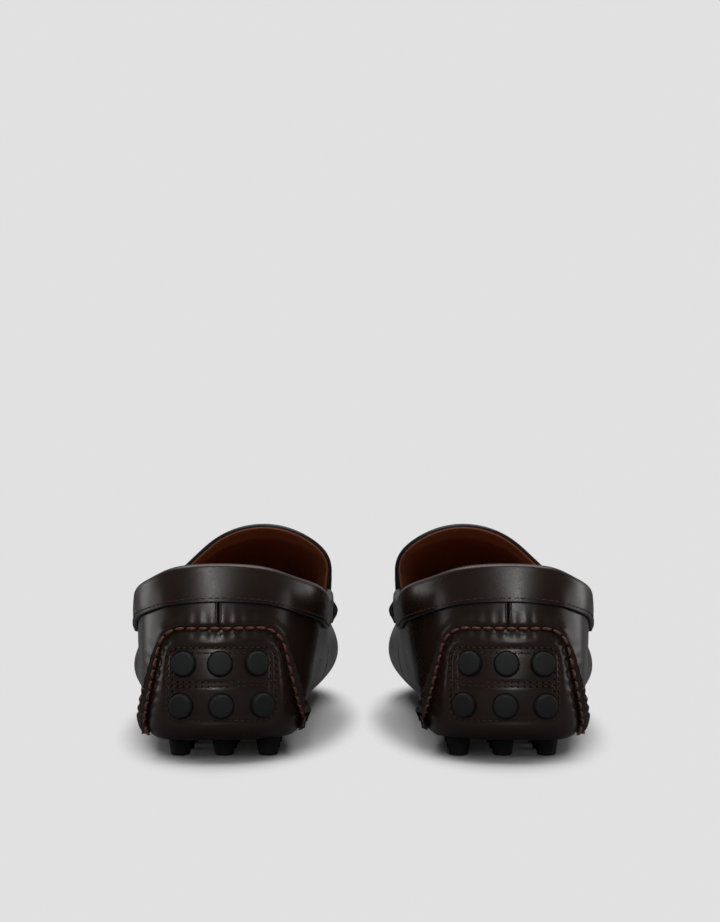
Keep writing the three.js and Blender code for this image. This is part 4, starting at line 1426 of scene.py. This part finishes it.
def make_lamps(scene):
    for name, place_at, aim, size, watts in (
        ("left softbox", (-0.7, 0.0, 0.1), (0, 0, 0.05), (0.9, 0.17), 0.7),
        ("right softbox", (0.7, 0.0, 0.1), (0, 0, 0.05), (0.9, 0.17), 0.7),
        ("overhead", (0, 0.1, 1.4), (0, 0, 0), (1.5, 1.3), 15),
        ("strip above the camera", (0, -1.5, 0.72), (0, 0, 0.06), (0.07, 1.2), 5.5),
    ):
        lamp = bpy.data.lights.new(name, "AREA")
        lamp.shape = "RECTANGLE"
        lamp.size, lamp.size_y = size
        lamp.energy = watts
        lamp_object = bpy.data.objects.new(name, lamp)
        lamp_object.location = place_at
        direction = np.array(aim, float) - np.array(place_at, float)
        lamp_object.rotation_euler = look(direction)
        lamp_object.visible_camera = False
        scene.collection.objects.link(lamp_object)


def make_room(scene, shade):
    """Pale to the eye, and bright only beyond the toes for everything else."""
    world = bpy.data.worlds.new("room")
    world.use_nodes = True
    tree = world.node_tree
    link = tree.links.new
    background = tree.nodes["Background"]
    direction = node(tree, "ShaderNodeTexCoord").outputs["Generated"]
    split = node(tree, "ShaderNodeSeparateXYZ")
    link(direction, split.inputs[0])
    behind = node(tree, "ShaderNodeMapRange", interpolation_type="SMOOTHSTEP")
    behind.inputs["From Min"].default_value = -0.45
    behind.inputs["From Max"].default_value = 0.45
    behind.inputs["To Min"].default_value = 0.015
    behind.inputs["To Max"].default_value = 0.2
    link(split.outputs["Y"], behind.inputs["Value"])
    up = math_node(tree, "MULTIPLY", math_node(tree, "MAXIMUM", split.outputs["Z"], 0.0), 0.12)
    bright = math_node(tree, "ADD", behind.outputs["Result"], up)
    eye = node(tree, "ShaderNodeLightPath").outputs["Is Camera Ray"]
    grey = node(tree, "ShaderNodeCombineColor")
    for key in ("Red", "Green", "Blue"):
        link(bright, grey.inputs[key])
    link(mix_colour(tree, eye, grey.outputs[0], tone(shade)), background.inputs["Color"])
    scene.world = world


def make_stage():
    scene = bpy.context.scene
    shade = colours().floor
    make_floor(scene, shade)
    make_camera(scene)
    make_lamps(scene)
    make_room(scene, shade)
    scene.view_settings.view_transform = "Standard"


def look(direction):
    """Turns a lamp or camera, which faces down its own -Z, to a direction."""
    return Vector(direction).to_track_quat("-Z", "Y").to_euler()


# ---- The add-on ----
def colour_property(name, description, default):
    return bpy.props.FloatVectorProperty(
        name=name, description=description, subtype="COLOR", size=3, min=0, max=1, default=default
    )


def length_property(name, description, default):
    return bpy.props.FloatProperty(
        name=name, description=description, default=default, unit="LENGTH", subtype="DISTANCE"
    )


class MoccasinColours(bpy.types.PropertyGroup):
    """The colours of the pair's materials."""

    calf: colour_property("Calf", "Outer leather", (0.022, 0.0118, 0.0078))
    lining: colour_property("Lining", "Leather inside the shoe", (0.26, 0.085, 0.034))
    rubber: colour_property("Rubber", "Moulded studs", (0.0095, 0.0102, 0.0108))
    thread: colour_property("Thread", "Waxed sewing thread", (0.15, 0.052, 0.03))
    edge_paint: colour_property("Edge paint", "Painted cut edges", (0.006, 0.008, 0.016))
    floor: colour_property("Floor", "Studio floor and background", (0.753, 0.753, 0.753))


class MoccasinSizes(bpy.types.PropertyGroup):
    """The sizes of what is sewn on."""

    stitch_length: length_property("Stitch length", "Length of a hand stitch", 0.0036)
    thread_width: length_property("Thread width", "Thickness of the hand-sewing thread", 0.00106)
    polish: bpy.props.FloatProperty(
        name="Polish",
        description="Roughness of the outer leather",
        default=0.30,
        min=0.05,
        max=1.0,
        subtype="FACTOR",
    )


class PieceOperator:
    """What every piece's operator does: make it once for each shoe."""

    bl_options = {"REGISTER", "UNDO"}

    def execute(self, context):
        for side in SIDES:
            self.make(side)
        return {"FINISHED"}


class MOC_OT_bottom(PieceOperator, bpy.types.Operator):
    """Sole leather and the heel patch that runs up from it"""

    bl_idname = "moccasin.bottom"
    bl_label = "Bottom and heel patch"

    def make(self, side):
        make_bottom(side)
        make_heel_patch(side)


class MOC_OT_uppers(PieceOperator, bpy.types.Operator):
    """Quarters, vamp wall, apron and tongue"""

    bl_idname = "moccasin.uppers"
    bl_label = "Uppers"

    def make(self, side):
        make_quarter(side, "outer_quarter", 0.02, SIDE_SEAM, "quarter_outer_side")
        make_quarter(side, "inner_quarter", -SIDE_SEAM, -0.02, "quarter_inner_side")
        make_vamp(side)
        make_apron(side)


class MOC_OT_collar(PieceOperator, bpy.types.Operator):
    """Folded collar band with its painted edge and stitches"""

    bl_idname = "moccasin.collar"
    bl_label = "Collar band"

    def make(self, side):
        make_collar(side)


class MOC_OT_inside(PieceOperator, bpy.types.Operator):
    """Linings, stiffeners, padding and the layers under the foot"""

    bl_idname = "moccasin.inside"
    bl_label = "Linings and insole"

    def make(self, side):
        make_linings(side)
        make_insole(side)


class MOC_OT_seams(PieceOperator, bpy.types.Operator):
    """Back seam, gathered edges, and the stitches of the heel and the apron"""

    bl_idname = "moccasin.seams"
    bl_label = "Seams"

    def make(self, side):
        make_back_seam(side)
        make_gathered_edge(side)
        make_heel_stitching(side)
        make_moc_seam(side)


class MOC_OT_saddle(PieceOperator, bpy.types.Operator):
    """Saddle strap over the instep"""

    bl_idname = "moccasin.saddle"
    bl_label = "Saddle strap"

    def make(self, side):
        make_saddle(side)


class MOC_OT_studs(PieceOperator, bpy.types.Operator):
    """Rubber studs of the heel and the sole"""

    bl_idname = "moccasin.studs"
    bl_label = "Studs"

    def make(self, side):
        make_studs(side)


class MOC_OT_stage(bpy.types.Operator):
    """Floor, camera, lamps and background"""

    bl_idname = "moccasin.stage"
    bl_label = "Stage"

    def execute(self, context):
        make_stage()
        return {"FINISHED"}


OPERATORS = (
    MOC_OT_bottom,
    MOC_OT_uppers,
    MOC_OT_collar,
    MOC_OT_inside,
    MOC_OT_seams,
    MOC_OT_saddle,
    MOC_OT_studs,
    MOC_OT_stage,
)


class MOC_PT_panel(bpy.types.Panel):
    """Lists the pieces and their sizes and colours"""

    bl_idname = "MOC_PT_panel"
    bl_label = "Moccasins"
    bl_space_type = "VIEW_3D"
    bl_region_type = "UI"
    bl_category = "Moccasins"

    def draw(self, context):
        for operator in OPERATORS:
            self.layout.operator(operator.bl_idname)
        for group in (context.scene.moccasin_sizes, context.scene.moccasin_colours):
            for key in group.__annotations__:
                self.layout.prop(group, key)


CLASSES = (MoccasinColours, MoccasinSizes, *OPERATORS, MOC_PT_panel)


def register():
    for cls in CLASSES:
        bpy.utils.register_class(cls)
    bpy.types.Scene.moccasin_colours = bpy.props.PointerProperty(type=MoccasinColours)
    bpy.types.Scene.moccasin_sizes = bpy.props.PointerProperty(type=MoccasinSizes)


def unregister():
    del bpy.types.Scene.moccasin_sizes
    del bpy.types.Scene.moccasin_colours
    for cls in reversed(CLASSES):
        bpy.utils.unregister_class(cls)


def main():
    register()
    for operator in OPERATORS:
        family, name = operator.bl_idname.split(".")
        getattr(getattr(bpy.ops, family), name)()


if __name__ == "__main__":
    main()
